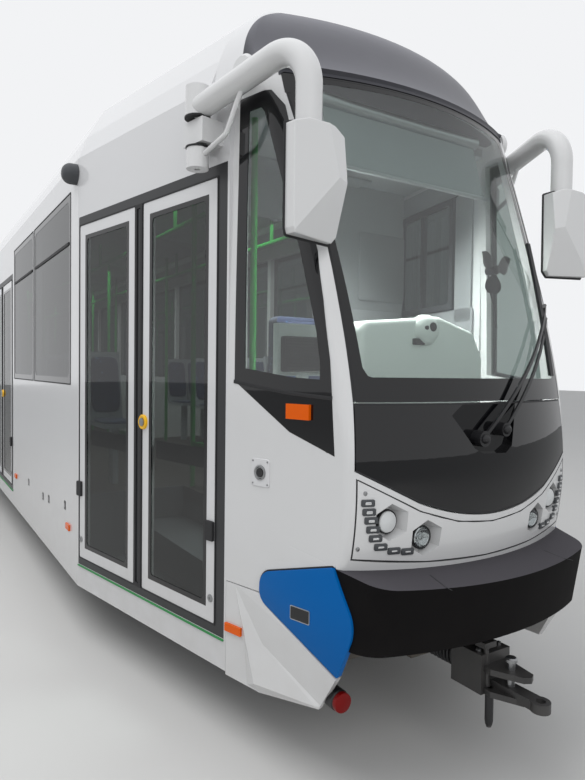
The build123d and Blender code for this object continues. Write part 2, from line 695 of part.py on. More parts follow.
with BuildPart() as side_lamps:
    add(plate(CAB_SIDE, bar_outline(*WEDGE_LAMP), 0, 16))
    add(plate(CAB_SIDE, bar_outline(*SKIRT_LAMP), 0, 12))
    for x in SIDE_MARKERS:
        add(plate(FLAT_SIDE, bar_outline(x - 50, x + 50, 610, 650), 0, 12))
    add(OUTER, mode=Mode.SUBTRACT)
    mirror(about=Plane.XZ)
side_lamps.part.label = "side_lamps"
export_step(side_lamps.part, "parts/side_lamps.step")

# Driver's place: pedestal, console and the hood over the instruments
DESK_X = 6780
DESK_FOOT = 990
DESK_TOP = 1500
DESK_PLAN = ((DESK_X, -620), (6960, -600), (7120, -480), (7170, 0), (7120, 480), (6960, 600),
             (DESK_X, 620))
HOOD_X = (6850, 6985)
HOOD_OUTLINE = ((-440, 1440), (-440, 1905), (-395, 1953), (50, 1997), (293, 1930), (363, 1800),
                (363, 1440))
DISPLAY = ((6752, 6800), (-752, -512), (1700, 1935))   # display beside the desk
DISPLAY_ARM = ((6782, 6798), (-650, -590), (1480, 1700))

with BuildPart() as hood:
    with BuildSketch(FRONT_VIEW.offset(HOOD_X[0])):
        with BuildLine():
            FilletPolyline(*raised(HOOD_OUTLINE), radius=45, close=True)
        make_face()
    extrude(amount=HOOD_X[1] - HOOD_X[0])
    fillet(hood.faces().sort_by(Axis.X)[-1].edges(), 30)

with BuildPart() as driver_desk:
    with BuildSketch(Plane.XY.offset(level(DESK_FOOT))):
        with BuildLine():
            Polyline(*DESK_PLAN, close=True)
        make_face()
    extrude(amount=DESK_TOP - DESK_FOOT)
    add(block((DESK_X, 6940), (-520, 520), (FLOOR_Z, DESK_FOOT)))
    add(block((DESK_X - 240, DESK_X), (-420, 420), (1380, 1430)))
    add([hood.part, block(*DISPLAY), block(*DISPLAY_ARM)])
driver_desk.part.label = "driver_desk"
export_step(driver_desk.part, "parts/driver_desk.step")

SEAT_X = 6130
SEAT_PAN_Z = 1330
with BuildPart() as driver_seat:
    add(block((SEAT_X - 230, SEAT_X + 230), (-240, 240), (SEAT_PAN_Z, SEAT_PAN_Z + 100)))
    add(block((SEAT_X - 330, SEAT_X - 230), (-230, 230), (SEAT_PAN_Z, 2060)))
    fillet(driver_seat.edges().group_by(Axis.Z)[-1], 40)
    with BuildSketch(Plane.XY.offset(level(FLOOR_Z))):
        with Locations((SEAT_X, 0)):
            Circle(230)
    extrude(amount=40)
    with BuildSketch(Plane.XY.offset(level(FLOOR_Z + 40))):
        with Locations((SEAT_X, 0)):
            Circle(70)
    extrude(amount=SEAT_PAN_Z - FLOOR_Z - 40)
driver_seat.part.label = "driver_seat"
export_step(driver_seat.part, "parts/driver_seat.step")

BULKHEAD_X = 5640
with BuildPart() as cab_bulkhead:
    add(block((BULKHEAD_X, BULKHEAD_X + 40), (-440, 980), (FLOOR_Z, CANT_Z - 45)))
    add(block((BULKHEAD_X - 10, BULKHEAD_X + 50), (-360, 200), (1700, 2700)), mode=Mode.SUBTRACT)
cab_bulkhead.part.label = "cab_bulkhead"
export_step(cab_bulkhead.part, "parts/cab_bulkhead.step")

# Passenger seats: x, y of the seat's middle; all face the cab
SEAT_ROWS = (4700, 3900, 3100, 2300, -2300, -3100, -3900, -4700)
SEAT_PLACES = [(x, y) for x in SEAT_ROWS for y in (-880, 640, 890)]
SEAT_H = 440

with BuildPart() as passenger_seats:
    for x, y in SEAT_PLACES:
        add(block((x - 200, x + 210), (y - 120, y + 120), (FLOOR_Z + SEAT_H - 30,
                                                           FLOOR_Z + SEAT_H)))
        with BuildSketch(Plane.XZ.offset(-y)):
            with BuildLine():
                Polyline(*raised(((x - 200, FLOOR_Z + SEAT_H - 30), (x - 170, FLOOR_Z + SEAT_H),
                                  (x - 270, FLOOR_Z + 950), (x - 300, FLOOR_Z + 940))), close=True)
            make_face()
        extrude(amount=120, both=True)
        add(block((x - 40, x + 60), (y - 20, y + 20), (FLOOR_Z, FLOOR_Z + SEAT_H - 30)))
passenger_seats.part.label = "passenger_seats"
export_step(passenger_seats.part, "parts/passenger_seats.step")

# Upright grab poles: x, y, height of their foot
POLE_R = 17
POLES = ((6300, -612, FLOOR_Z), (5090, -430, FLOOR_Z), (-5090, -430, FLOOR_Z),
         (-6480, -400, FLOOR_Z), (1900, -900, LOW_FLOOR_Z), (560, -900, LOW_FLOOR_Z),
         (1420, 0, LOW_FLOOR_Z), (0, 500, LOW_FLOOR_Z), (0, -500, LOW_FLOOR_Z),
         (-1300, 500, LOW_FLOOR_Z), (-1300, -500, LOW_FLOOR_Z), (2300, 420, FLOOR_Z),
         (3900, 420, FLOOR_Z), (-2300, 420, FLOOR_Z), (-3900, 420, FLOOR_Z))
RAIL_Y = 420
RAIL_Z = 2780

with BuildPart() as handrails:
    for x, y, foot in POLES:
        with BuildSketch(Plane.XY.offset(level(foot))):
            with Locations((x, y)):
                Circle(POLE_R)
        extrude(amount=CANT_Z - 45 - foot)
    for y in (-RAIL_Y, RAIL_Y):
        with BuildSketch(FRONT_VIEW.offset(-5400)):
            with Locations((y, level(RAIL_Z))):
                Circle(POLE_R)
        extrude(amount=10800)
    for x in (-5300, -3400, -1500, 300, 2600, 4700):
        for y in (-RAIL_Y, RAIL_Y):
            with BuildSketch(Plane.XY.offset(level(RAIL_Z))):
                with Locations((x, y)):
                    Circle(POLE_R - 3)
            extrude(amount=CANT_Z - 45 - RAIL_Z)
handrails.part.label = "handrails"
export_step(handrails.part, "parts/handrails.step")

# Mirror brackets on the wall beside the end door, with the upright hinge pin
MIRROR_X, MIRROR_Y = 6447, 993
BRACKET = (1375, 1525, 2765, 2875)
BRACKET_DEPTH = 118
HINGE_R = 14
HINGE_LEVELS = (2680, 2995)
FIT = 0.1                  # radial clearance of every turning pair

with BuildPart() as mirror_brackets:
    add(plate(DOOR_SIDE, bar_outline(*BRACKET), 0, BRACKET_DEPTH))
    with BuildSketch(Plane.XY.offset(level(HINGE_LEVELS[0]))):
        with Locations((MIRROR_X, -MIRROR_Y)):
            Circle(HINGE_R)
    extrude(amount=HINGE_LEVELS[1] - HINGE_LEVELS[0])
    mirror(about=Plane.XZ)
mirror_brackets.part.label = "mirror_brackets"
export_step(mirror_brackets.part, "parts/mirror_brackets.step")

# Mirror arms: an elbow tube from the upper cup, a bent stay from the lower one
ARM_R = 54
ARM_TOP = (6447, 993, 2930)
ARM_ELBOW = (7100, 805, 3045)
ARM_END = (7100, 805, 2640)
ARM_BEND = 170
STAY_R = 12
STAY = ((6447, 993, 2700), (6640, 940, 2770), (6760, 905, 2990))
CUPS = ((2890, 3030, 58), (2655, 2750, 52))
HEAD_TURN = 12             # plan angle of the mirror's face from square
HEAD_X, HEAD_Y = 7112, 807
HEAD_OUTLINE = ((-132, 2262), (-125, 2240), (105, 2235), (128, 2262), (132, 2655),
                (66, 2678), (-66, 2678), (-132, 2655))


def right_side(x, y, z):
    """Point of the right side from its distance out and its height above the rail."""
    return x, -y, level(z)


a = radians(HEAD_TURN)
HEAD_PLANE = Plane(origin=(HEAD_X, -HEAD_Y, 0), x_dir=(-sin(a), cos(a), 0),
                   z_dir=(cos(a), sin(a), 0))

# Mirror housing: three flat facets that meet in a peak, each by how its depth changes
# across and up
PEAK = (74, 2478, 97)      # across, height above the rail, depth
FACETS = ((0.22, -0.007), (-0.10, 0.276), (-0.187, -0.109))
SHELL_ROUND = 6

with BuildPart() as mirror_shell:
    with BuildSketch(HEAD_PLANE):
        with BuildLine():
            Polyline(*raised(HEAD_OUTLINE), close=True)
        make_face()
    extrude(amount=PEAK[2])
    for across, up in FACETS:
        peak = HEAD_PLANE.from_local_coords(Vector(PEAK[0], level(PEAK[1]), PEAK[2]))
        slope = HEAD_PLANE.from_local_coords(Vector(-across, -up, 1)) - HEAD_PLANE.origin
        split(bisect_by=Plane(origin=peak, z_dir=slope), keep=Keep.BOTTOM)
    fillet(mirror_shell.edges().filter_by(
        lambda edge: HEAD_PLANE.to_local_coords(edge.center()).Z > SHELL_ROUND), SHELL_ROUND)

with BuildPart() as mirror_right:
    with BuildLine() as arm_path:
        FilletPolyline(right_side(*ARM_TOP), right_side(*ARM_ELBOW), right_side(*ARM_END),
                       radius=ARM_BEND)
    with BuildSketch(Plane(origin=arm_path.line @ 0, z_dir=arm_path.line % 0)):
        Circle(ARM_R)
    sweep(path=arm_path.line)
    with BuildLine() as stay_path:
        FilletPolyline(*[right_side(*point) for point in STAY], radius=40)
    with BuildSketch(Plane(origin=stay_path.line @ 0, z_dir=stay_path.line % 0)):
        Circle(STAY_R)
    sweep(path=stay_path.line)
    for low, high, radius in CUPS:
        with BuildSketch(Plane.XY.offset(level(low))):
            with Locations((MIRROR_X, -MIRROR_Y)):
                Circle(radius)
        extrude(amount=high - low)
    add(mirror_shell.part)
    with BuildSketch(Plane.XY.offset(level(HINGE_LEVELS[0] - 40))):
        with Locations((MIRROR_X, -MIRROR_Y)):
            Circle(HINGE_R + FIT)
    extrude(amount=HINGE_LEVELS[1] - HINGE_LEVELS[0] + 45, mode=Mode.SUBTRACT)
mirror_right.part.label = "mirror_right"
export_step(mirror_right.part, "parts/mirror_right.step")

with BuildPart() as mirror_left:
    add(mirror_right.part.mirror(Plane.XZ))
mirror_left.part.label = "mirror_left"
export_step(mirror_left.part, "parts/mirror_left.step")

with BuildPart() as mirror_glass_right:
    with BuildSketch(HEAD_PLANE.offset(-4)):
        with BuildLine():
            Polyline(*raised(bar_outline(-118, 118, 2265, 2635)), close=True)
        make_face()
    extrude(amount=4)
mirror_glass_right.part.label = "mirror_glass_right"
export_step(mirror_glass_right.part, "parts/mirror_glass_right.step")

with BuildPart() as mirror_glass_left:
    add(mirror_glass_right.part.mirror(Plane.XZ))
mirror_glass_left.part.label = "mirror_glass_left"
export_step(mirror_glass_left.part, "parts/mirror_glass_left.step")

# Small round covers on the cab's upper corners, and the camera pods beside the end doors
COVER = (88, 3070, 70)     # along the cab side, height, radius
POD = (4965, 2978, 66, 95)   # x, height, radius, how far it stands out

with BuildPart() as cover_disc:
    with BuildSketch(CAB_SIDE.offset(-20)):
        with Locations((COVER[0], level(COVER[1]))):
            Circle(COVER[2])
    extrude(amount=38)
    chamfer(cover_disc.edges().sort_by(lambda edge: edge.center().Y)[0], 12)
    add([OUTER, crown.part], mode=Mode.SUBTRACT)

with BuildPart() as corner_covers:
    add(cover_disc.solids().sort_by(SortBy.VOLUME)[-1])
    mirror(about=Plane.XZ)
corner_covers.part.label = "corner_covers"
export_step(corner_covers.part, "parts/corner_covers.step")

with BuildPart() as camera_domes:
    with BuildSketch(Plane.XZ.offset(HALF_WIDTH)):
        with Locations((POD[0], level(POD[1]))):
            Circle(POD[2])
    extrude(amount=POD[3])
    fillet(camera_domes.edges().sort_by(Axis.Y)[0], POD[2] - 8)
    mirror(about=Plane.XZ)
    mirror(about=Plane.YZ)
camera_domes.part.label = "camera_domes"
export_step(camera_domes.part, "parts/camera_domes.step")

# Wiper of the windscreen: two bowed arms from the recess to one upright blade, each as
# three points of an arc with heights above the rail
WIPER_R = 9
ARM_ONE = ((7375, -83, 1445), (7312, 330, 1815), (7165, 600, 2070))
ARM_TWO = ((7378, 52, 1480), (7312, 333, 1740), (7190, 575, 2000))
BLADE = ((7085, 560, 2390), (7196, 525, 2050), (7290, 490, 1715))
BOSSES = ((-83, 1445, 34), (52, 1480, 30))
BOSS_X = (7370 - RECESS_DEPTH, 7390)

with BuildPart() as wiper:
    for points, width, depth in ((ARM_ONE, 16, 10), (ARM_TWO, 14, 9), (BLADE, 22, 12)):
        with BuildLine() as bow:
            ThreePointArc(*[(x, y, level(z)) for x, y, z in points])
        with BuildSketch(Plane(origin=bow.line @ 0, x_dir=(0, 1, 0), z_dir=bow.line % 0)):
            Rectangle(width, depth)
        sweep(path=bow.line)
    for y, z, radius in BOSSES:
        with BuildSketch(FRONT_VIEW.offset(BOSS_X[0])):
            with Locations((y, level(z))):
                Circle(radius)
        extrude(amount=BOSS_X[1] - BOSS_X[0])
    # Links that join the arms to the middle of the blade
    for start, end in ((ARM_ONE[-1], BLADE[1]), (ARM_TWO[-1], (7212, 520, 1990))):
        add(tube(start, end, WIPER_R))
wiper.part.label = "wiper"
export_step(wiper.part, "parts/wiper.step")

# Equipment on the roof: first x, last x, half width, top
ROOF_UNITS = ((-1600, 1000, 700, 3430), (-4400, -2200, 640, 3400), (4300, 5800, 520, 3390))
LOUVRE_PITCH = 110
LOUVRE_DEPTH = 14

with BuildPart() as roof_units:
    for start, end, half, top in ROOF_UNITS:
        with BuildSketch(FRONT_VIEW.offset(start)):
            with BuildLine():
                Polyline(*raised(((-half, CANT_Z), (-half, top - 90), (-half + 110, top),
                                  (half - 110, top), (half, top - 90), (half, CANT_Z))), close=True)
            make_face()
        extrude(amount=end - start)
        # Louvres: a row of slots along both sides
        slots = int((end - start - 200) / LOUVRE_PITCH)
        with BuildSketch(Plane.XZ.offset(-half + LOUVRE_DEPTH)):
            with Locations(((start + end) / 2, level((CANT_Z + top) / 2 - 35))):
                with GridLocations(LOUVRE_PITCH, 1, slots, 1):
                    Rectangle(60, top - CANT_Z - 190)
        extrude(amount=-LOUVRE_DEPTH * 2, mode=Mode.SUBTRACT)
        with BuildSketch(Plane.XZ.offset(half - LOUVRE_DEPTH)):
            with Locations(((start + end) / 2, level((CANT_Z + top) / 2 - 35))):
                with GridLocations(LOUVRE_PITCH, 1, slots, 1):
                    Rectangle(60, top - CANT_Z - 190)
        extrude(amount=LOUVRE_DEPTH * 2, mode=Mode.SUBTRACT)
roof_units.part.label = "roof_units"
export_step(roof_units.part, "parts/roof_units.step")

# Current collector, folded on the roof
PANTO_X = 3300             # pivot of the lower arm and place of the folded head
PANTO_Z = 3330
KNEE_X, KNEE_Z = 1854, 3431
TIP_Z = 3532
SHAFT_R = 25
KNEE_R = 20
TIP_R = 12
INSULATORS = [(x, y) for x in (2760, 3840) for y in (-370, 370)]
BEARING_Y = 320


with BuildPart() as pantograph_base:
    for x, y in INSULATORS:
        with BuildSketch(Plane.XY.offset(level(CANT_Z))):
            with Locations((x, y)):
                Circle(42)
        extrude(amount=150)
        for height in (CANT_Z + 30, CANT_Z + 70, CANT_Z + 110):
            with BuildSketch(Plane.XY.offset(level(height))):
                with Locations((x, y)):
                    Circle(66)
            extrude(amount=14, taper=20)
    for y in (-370, 370):
        add(block((2700, 3900), (y - 30, y + 30), (3220, 3280)))
    for x in (2760, PANTO_X, 3840):
        add(block((x - 30, x + 30), (-370, 370), (3220, 3275)))
    for side in (-1, 1):
        bearing = sorted((side * (BEARING_Y - 15), side * (BEARING_Y + 15)))
        add(block((PANTO_X - 50, PANTO_X + 50), bearing, (3270, 3375)))
    add(tube((PANTO_X, -400, PANTO_Z), (PANTO_X, 400, PANTO_Z), SHAFT_R + FIT), mode=Mode.SUBTRACT)
pantograph_base.part.label = "pantograph_base"
export_step(pantograph_base.part, "parts/pantograph_base.step")

with BuildPart() as panto_lower_arm:
    add(tube((PANTO_X, -360, PANTO_Z), (PANTO_X, 360, PANTO_Z), SHAFT_R))
    add(tube((PANTO_X, -150, PANTO_Z), (PANTO_X, 150, PANTO_Z), 48))
    add(tube((PANTO_X, 0, PANTO_Z), (KNEE_X, 0, KNEE_Z), 36))
    add(tube((KNEE_X, -60, KNEE_Z), (KNEE_X, 60, KNEE_Z), 40))
    add(tube((KNEE_X, -80, KNEE_Z), (KNEE_X, 80, KNEE_Z), KNEE_R + FIT), mode=Mode.SUBTRACT)
panto_lower_arm.part.label = "panto_lower_arm"
export_step(panto_lower_arm.part, "parts/panto_lower_arm.step")

with BuildPart() as panto_upper_arm:
    add(tube((KNEE_X, -150, KNEE_Z), (KNEE_X, 150, KNEE_Z), KNEE_R))
    for side in (-1, 1):
        add(tube((KNEE_X, side * 120, KNEE_Z), (PANTO_X, side * 300, TIP_Z), 17))
        add(tube((KNEE_X, side * 95, KNEE_Z), (KNEE_X, side * 150, KNEE_Z), 34))
        add(tube((PANTO_X, side * 270, TIP_Z), (PANTO_X, side * 320, TIP_Z), 26))
    add(tube((2600, -209, 3483), (2600, 209, 3483), 12))
    add(tube((PANTO_X, -400, TIP_Z), (PANTO_X, 400, TIP_Z), TIP_R + FIT), mode=Mode.SUBTRACT)
panto_upper_arm.part.label = "panto_upper_arm"
export_step(panto_upper_arm.part, "parts/panto_upper_arm.step")

# Head of the collector: two carbon strips with down-turned horns on one cross shaft
HORN = ((-760, 3560), (-640, 3622), (-520, 3640), (520, 3640), (640, 3622), (760, 3560),
        (760, 3542), (640, 3600), (515, 3616), (-515, 3616), (-640, 3600), (-760, 3542))

with BuildPart() as panto_head:
    add(tube((PANTO_X, -360, TIP_Z), (PANTO_X, 360, TIP_Z), TIP_R))
    for x in (PANTO_X - 160, PANTO_X + 160):
        with BuildSketch(FRONT_VIEW.offset(x - 25)):
            with BuildLine():
                Polyline(*raised(HORN), close=True)
            make_face()
        extrude(amount=50)
    for side in (-1, 1):
        with BuildSketch(Plane.XZ.offset(-side * 348)):
            with BuildLine():
                Polyline(*raised(((PANTO_X - 170, 3617), (PANTO_X - 170, 3600),
                                  (PANTO_X - 22, 3518), (PANTO_X + 22, 3518),
                                  (PANTO_X + 170, 3600), (PANTO_X + 170, 3617))), close=True)
            make_face()
        extrude(amount=8, both=True)
panto_head.part.label = "panto_head"
export_step(panto_head.part, "parts/panto_head.step")

# Bogies: name, x of the pivot
BOGIES = (("front", BOGIE_X), ("rear", -BOGIE_X))
BEAM_Y = (440, 560)
BEAM = ((-1150, 300), (-1150, 520), (-1000, 560), (-450, 560), (-300, 500), (300, 500),
        (450, 560), (1000, 560), (1150, 520), (1150, 300), (1070, 215), (830, 215), (760, 400),
        (300, 360), (-300, 360), (-760, 400), (-830, 215), (-1070, 215))
AXLE_X = WHEELBASE / 2
MOTOR_X, MOTOR_Z, MOTOR_R = 560, 420, 190
SPRING_Y = 500
BRAKE_Y = 767

for name, x in BOGIES:
    with BuildPart() as bogie_frame:
        for side in (-1, 1):
            with BuildSketch(Plane.XZ.offset(-side * sum(BEAM_Y) / 2)):
                with BuildLine():
                    Polyline(*raised([(x + along, z) for along, z in BEAM]), close=True)
                make_face()
            extrude(amount=(BEAM_Y[1] - BEAM_Y[0]) / 2, both=True)
        add(block((x - 200, x + 200), (-BEAM_Y[0], BEAM_Y[0]), (380, 500)))
        for axle in (-AXLE_X, AXLE_X):
            add(tube((x + axle, -700, AXLE_Z), (x + axle, 700, AXLE_Z), AXLE_R + FIT),
                mode=Mode.SUBTRACT)
        add(tube((x, 0, 300), (x, 0, 600), PIVOT_R + FIT), mode=Mode.SUBTRACT)
    bogie_frame.part.label = f"bogie_frame_{name}"
    export_step(bogie_frame.part, f"parts/bogie_frame_{name}.step")

    with BuildPart() as motors:
        for end in (-1, 1):
            axle = x + end * AXLE_X
            motor = x + end * MOTOR_X
            add(tube((motor, -400, MOTOR_Z), (motor, 400, MOTOR_Z), MOTOR_R))
            add(tube((axle, 120, AXLE_Z), (axle, 260, AXLE_Z), 150))
            add(block(sorted((motor, axle)), (120, 260), (340, 470)))
            add(block(sorted((x + end * 200, motor)), (-60, 60), (400, 520)))
            add(tube((axle, 0, AXLE_Z), (axle, 400, AXLE_Z), AXLE_R + FIT), mode=Mode.SUBTRACT)
    motors.part.label = f"motors_{name}"
    export_step(motors.part, f"parts/motors_{name}.step")

    with BuildPart() as springs:
        for height, radius in ((500, 130), (535, 112), (590, 128), (645, 112), (700, 130)):
            with BuildSketch(Plane.XY.offset(level(height))):
                with Locations((x, -SPRING_Y), (x, SPRING_Y)):
                    Circle(radius)
            extrude(amount=55 if height < 700 else 35)
    springs.part.label = f"springs_{name}"
    export_step(springs.part, f"parts/springs_{name}.step")

    with BuildPart() as track_brakes:
        add(block((x - 500, x + 500), (BRAKE_Y - 34, BRAKE_Y + 34), (38, 120)))
        for along in (-400, 400):
            add(block((x + along - 20, x + along + 20), (BEAM_Y[1], BEAM_Y[1] + 35), (90, 440)))
            add(block((x + along - 20, x + along + 20), (BEAM_Y[1] + 35, BRAKE_Y), (90, 120)))
        mirror(about=Plane.XZ)
    track_brakes.part.label = f"track_brakes_{name}"
    export_step(track_brakes.part, f"parts/track_brakes_{name}.step")

# Half of a wheelset, as (radius, distance from the middle)
WHEEL_FACE = GAUGE_FACE + WHEEL_WIDTH
WHEELSET = ((0, 0), (AXLE_R, 0), (AXLE_R, 650), (115, 650), (115, 705), (255, 725),
            (255, GAUGE_FACE), (TREAD_R + 18, GAUGE_FACE), (TREAD_R + FLANGE, 690),
            (TREAD_R + FLANGE, 700), (TREAD_R + 3, 716), (TREAD_R, WHEEL_FACE), (262, WHEEL_FACE),
            (255, 765), (115, 775), (115, 800), (70, 810), (0, 810))
WHEELSETS = (("wheelset_1", BOGIE_X + AXLE_X), ("wheelset_2", BOGIE_X - AXLE_X),
             ("wheelset_3", AXLE_X - BOGIE_X), ("wheelset_4", -AXLE_X - BOGIE_X))

for name, x in WHEELSETS:
    with BuildPart() as wheelset:
        with BuildSketch(Plane(origin=(x, 0, level(AXLE_Z)), z_dir=(0, 0, 1))):
            with BuildLine():
                Polyline(*WHEELSET, close=True)
            make_face()
        revolve(axis=Axis((x, 0, level(AXLE_Z)), (0, 1, 0)))
        mirror(about=Plane.XZ)
    wheelset.part.label = name
    export_step(wheelset.part, f"parts/{name}.step")

# Folding couplers: drawbar, head with two jaws, tongue with its eye, and a T-lever
JAW = ((7380, -70), (7440, -80), (7560, -20), (7575, 10), (7560, 40), (7440, 62), (7380, 70))
TONGUE_EYE = 7625
EYE_R = 20
TONGUE_Z = (370, 410)

for name in ("front", "rear"):
    with BuildPart() as coupler:
        with BuildSketch(Plane.XY.offset(level(385))):
            with Locations((COUPLER_X, 0)):
                Circle(52)
        extrude(amount=110)
        add(tube((COUPLER_X, 0, 345), (COUPLER_X, 0, 540), PIN_R))
        add(tube((COUPLER_X + 40, 0, COUPLER_Z), (7260, 0, COUPLER_Z), 42))
        add(block((7230, 7400), (-90, 90), (355, 525)))
        for low, high in ((360, 385), (455, 480)):
            with BuildSketch(Plane.XY.offset(level(low))):
                with BuildLine():
                    Polyline(*JAW, close=True)
                make_face()
            extrude(amount=high - low)
        with BuildSketch(Plane.XY.offset(level(TONGUE_Z[0]))):
            with Locations((TONGUE_EYE, 0)):
                Circle(40)
            with Locations(((7400 + TONGUE_EYE) / 2, 0)):
                Rectangle(TONGUE_EYE - 7400, 64)
        extrude(amount=TONGUE_Z[1] - TONGUE_Z[0])
        with BuildSketch(Plane.XY.offset(level(300))):
            with Locations((TONGUE_EYE, 0)):
                Circle(EYE_R)
        extrude(amount=200, mode=Mode.SUBTRACT)
        add(tube((7412, -50, 215), (7388, -50, 560), 11))
        add(block((7360, 7415), (-85, -15), (555, 580)))
        if name == "rear":
            mirror(about=Plane.YZ, mode=Mode.REPLACE)
    coupler.part.label = f"coupler_{name}"
    export_step(coupler.part, f"parts/coupler_{name}.step")
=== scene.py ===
"""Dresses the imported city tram: finishes, trim and fittings for every surface that shows.

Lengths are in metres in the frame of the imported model: +X towards the cab, +Y to the
left and +Z up, with the rail heads one flange height above the floor.
"""
import logging
import math
from dataclasses import dataclass
from enum import Enum

import bpy
import numpy as np
from mathutils import Matrix, Vector


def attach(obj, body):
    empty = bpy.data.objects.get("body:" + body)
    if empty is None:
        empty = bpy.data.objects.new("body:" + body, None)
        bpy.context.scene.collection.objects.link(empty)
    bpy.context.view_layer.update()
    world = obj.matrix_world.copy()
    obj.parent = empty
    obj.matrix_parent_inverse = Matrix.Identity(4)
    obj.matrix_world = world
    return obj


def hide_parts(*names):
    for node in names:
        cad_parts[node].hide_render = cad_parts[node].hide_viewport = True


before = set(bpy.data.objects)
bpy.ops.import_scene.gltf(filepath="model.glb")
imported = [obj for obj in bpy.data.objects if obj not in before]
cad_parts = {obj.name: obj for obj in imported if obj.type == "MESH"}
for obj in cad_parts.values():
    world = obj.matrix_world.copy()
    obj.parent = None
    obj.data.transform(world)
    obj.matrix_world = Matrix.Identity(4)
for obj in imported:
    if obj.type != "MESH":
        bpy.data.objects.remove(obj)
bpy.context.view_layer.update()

LOG = logging.getLogger("tram")
Array = np.ndarray
Pairs = tuple[tuple[float, float], ...]
Triples = tuple[tuple[float, float, float], ...]

# Main sizes, the same as the solids'
FLANGE = 0.026
HALF_WIDTH = 1.200
CORNER_X = 5.010
SEAM_X = 6.555
SEAM_Y = 0.879
TAPER = math.degrees(math.atan2(HALF_WIDTH - SEAM_Y, SEAM_X - CORNER_X))
END_TAPER = 15.74
BODY = "carbody"
X_AXIS, Y_AXIS, Z_AXIS = np.eye(3)


def above_rail(height: float | Array) -> float | Array:
    """Height in the frame of a height above the rail heads."""
    return height + FLANGE


def linear(hex_colour: str) -> tuple[float, float, float, float]:
    """Turns an sRGB hex colour into linear RGBA.

    Args:
        hex_colour: Six hex digits, with or without a hash sign.

    Returns:
        The linear red, green, blue and an alpha of 1.
    """
    digits = hex_colour.lstrip("#")
    parts = [int(digits[i:i + 2], 16) / 255 for i in (0, 2, 4)]
    lin = [c / 12.92 if c <= 0.04045 else ((c + 0.055) / 1.055) ** 2.4 for c in parts]
    return lin[0], lin[1], lin[2], 1.0


# Surfaces


@dataclass
class Surface:
    """Points and faces of one or more closed shapes."""

    verts: Array
    faces: list[tuple[int, ...]]

    def moved(self, matrix: Array, origin: Array) -> "Surface":
        """Returns a copy with every point p taken to origin + p @ matrix, its faces outwards."""
        return facing_out(Surface(self.verts @ matrix + origin, self.faces))

    def raised(self, x: float, y: float, height: float) -> "Surface":
        """Returns a copy moved to x, y and a height above the rails, its faces outwards."""
        return facing_out(Surface(self.verts + np.array([x, y, above_rail(height)]), self.faces))


def joined(parts: list[Surface]) -> Surface:
    """Puts several surfaces into one, with their face numbers shifted."""
    starts = np.cumsum([0] + [len(p.verts) for p in parts[:-1]])
    faces = [tuple(i + int(s) for i in f) for p, s in zip(parts, starts) for f in p.faces]
    return Surface(np.concatenate([p.verts for p in parts]), faces)


def ring_solid(rings: Array, closed: bool = False) -> Surface:
    """Skin over rings of points, each ring joined to the next by four-sided faces.

    Args:
        rings: Array of R rings by N points by 3.
        closed: Whether the last ring joins the first, as round a frame. Otherwise the
            two end rings are capped.

    Returns:
        The closed surface.
    """
    count, around = rings.shape[:2]
    i = np.arange(count if closed else count - 1)[:, None]
    j = np.arange(around)[None, :]
    a = i * around + j
    b = i * around + (j + 1) % around
    c = ((i + 1) % count) * around + (j + 1) % around
    d = ((i + 1) % count) * around + j
    quads = np.stack([a, b, c, d], -1).reshape(-1, 4)
    faces = [tuple(q) for q in quads.tolist()]
    if not closed:
        faces.append(tuple(range(around))[::-1])
        faces.append(tuple(range((count - 1) * around, count * around)))
    return Surface(rings.reshape(-1, 3), faces)


def facing_out(surface: Surface) -> Surface:
    """Turns a closed surface's faces outwards, by the sign of its volume."""
    v = surface.verts
    volume = 0.0
    for f in surface.faces:
        p = v[list(f)]
        volume += float(np.einsum("ij,ij->", np.cross(p[1:-1], p[2:]), np.repeat(p[:1], len(f) - 2, 0)))
    if volume < 0:
        return Surface(v, [f[::-1] for f in surface.faces])
    return surface


def rounded_rect(width: float, height: float, radius: float, steps: int = 5) -> Array:
    """Outline of a rectangle with round corners, centred on the origin.

    Each corner is a quarter circle about a centre one radius in from both sides.

    Returns:
        Array of points by 2, going anticlockwise.
    """
    t = np.linspace(0, np.pi / 2, steps + 1)
    quarter = radius * np.stack([np.cos(t), np.sin(t)], -1)
    turns = [np.array([[1, 0], [0, 1]]), np.array([[0, 1], [-1, 0]]),
             np.array([[-1, 0], [0, -1]]), np.array([[0, -1], [1, 0]])]
    centres = np.array([[1, 1], [-1, 1], [-1, -1], [1, -1]]) * (
        np.array([width, height]) / 2 - radius)
    return np.concatenate([quarter @ m + c for m, c in zip(turns, centres)])


def circle(radius: float, count: int = 32) -> Array:
    """Points of a circle about the origin, as an array of count by 2."""
    t = np.linspace(0, 2 * np.pi, count, endpoint=False)
    return radius * np.stack([np.cos(t), np.sin(t)], -1)


def puck(outline: Array, profile: list[tuple[float, float]]) -> Surface:
    """Solid whose rings are one outline, scaled about its middle and raised.

    Args:
        outline: Points by 2, in the X and Y of the result.
        profile: Pairs of (distance inwards of the outline, height), from the foot up.

    Returns:
        The capped surface, its height along Z.
    """
    half = np.abs(outline).max(0)
    rings = [np.column_stack([outline * (1 - inwards / half), np.full(len(outline), height)])
             for inwards, height in profile]
    return ring_solid(np.stack(rings))


def lathe(profile: list[tuple[float, float]], count: int = 32, closed: bool = False) -> Surface:
    """Turned solid: each (radius, height) pair goes round the Z axis.

    A closed profile joins its start, as that of a hoop.
    """
    unit = circle(1.0, count)
    rings = [np.column_stack([unit * max(r, 1e-5), np.full(count, h)]) for r, h in profile]
    return ring_solid(np.stack(rings), closed)


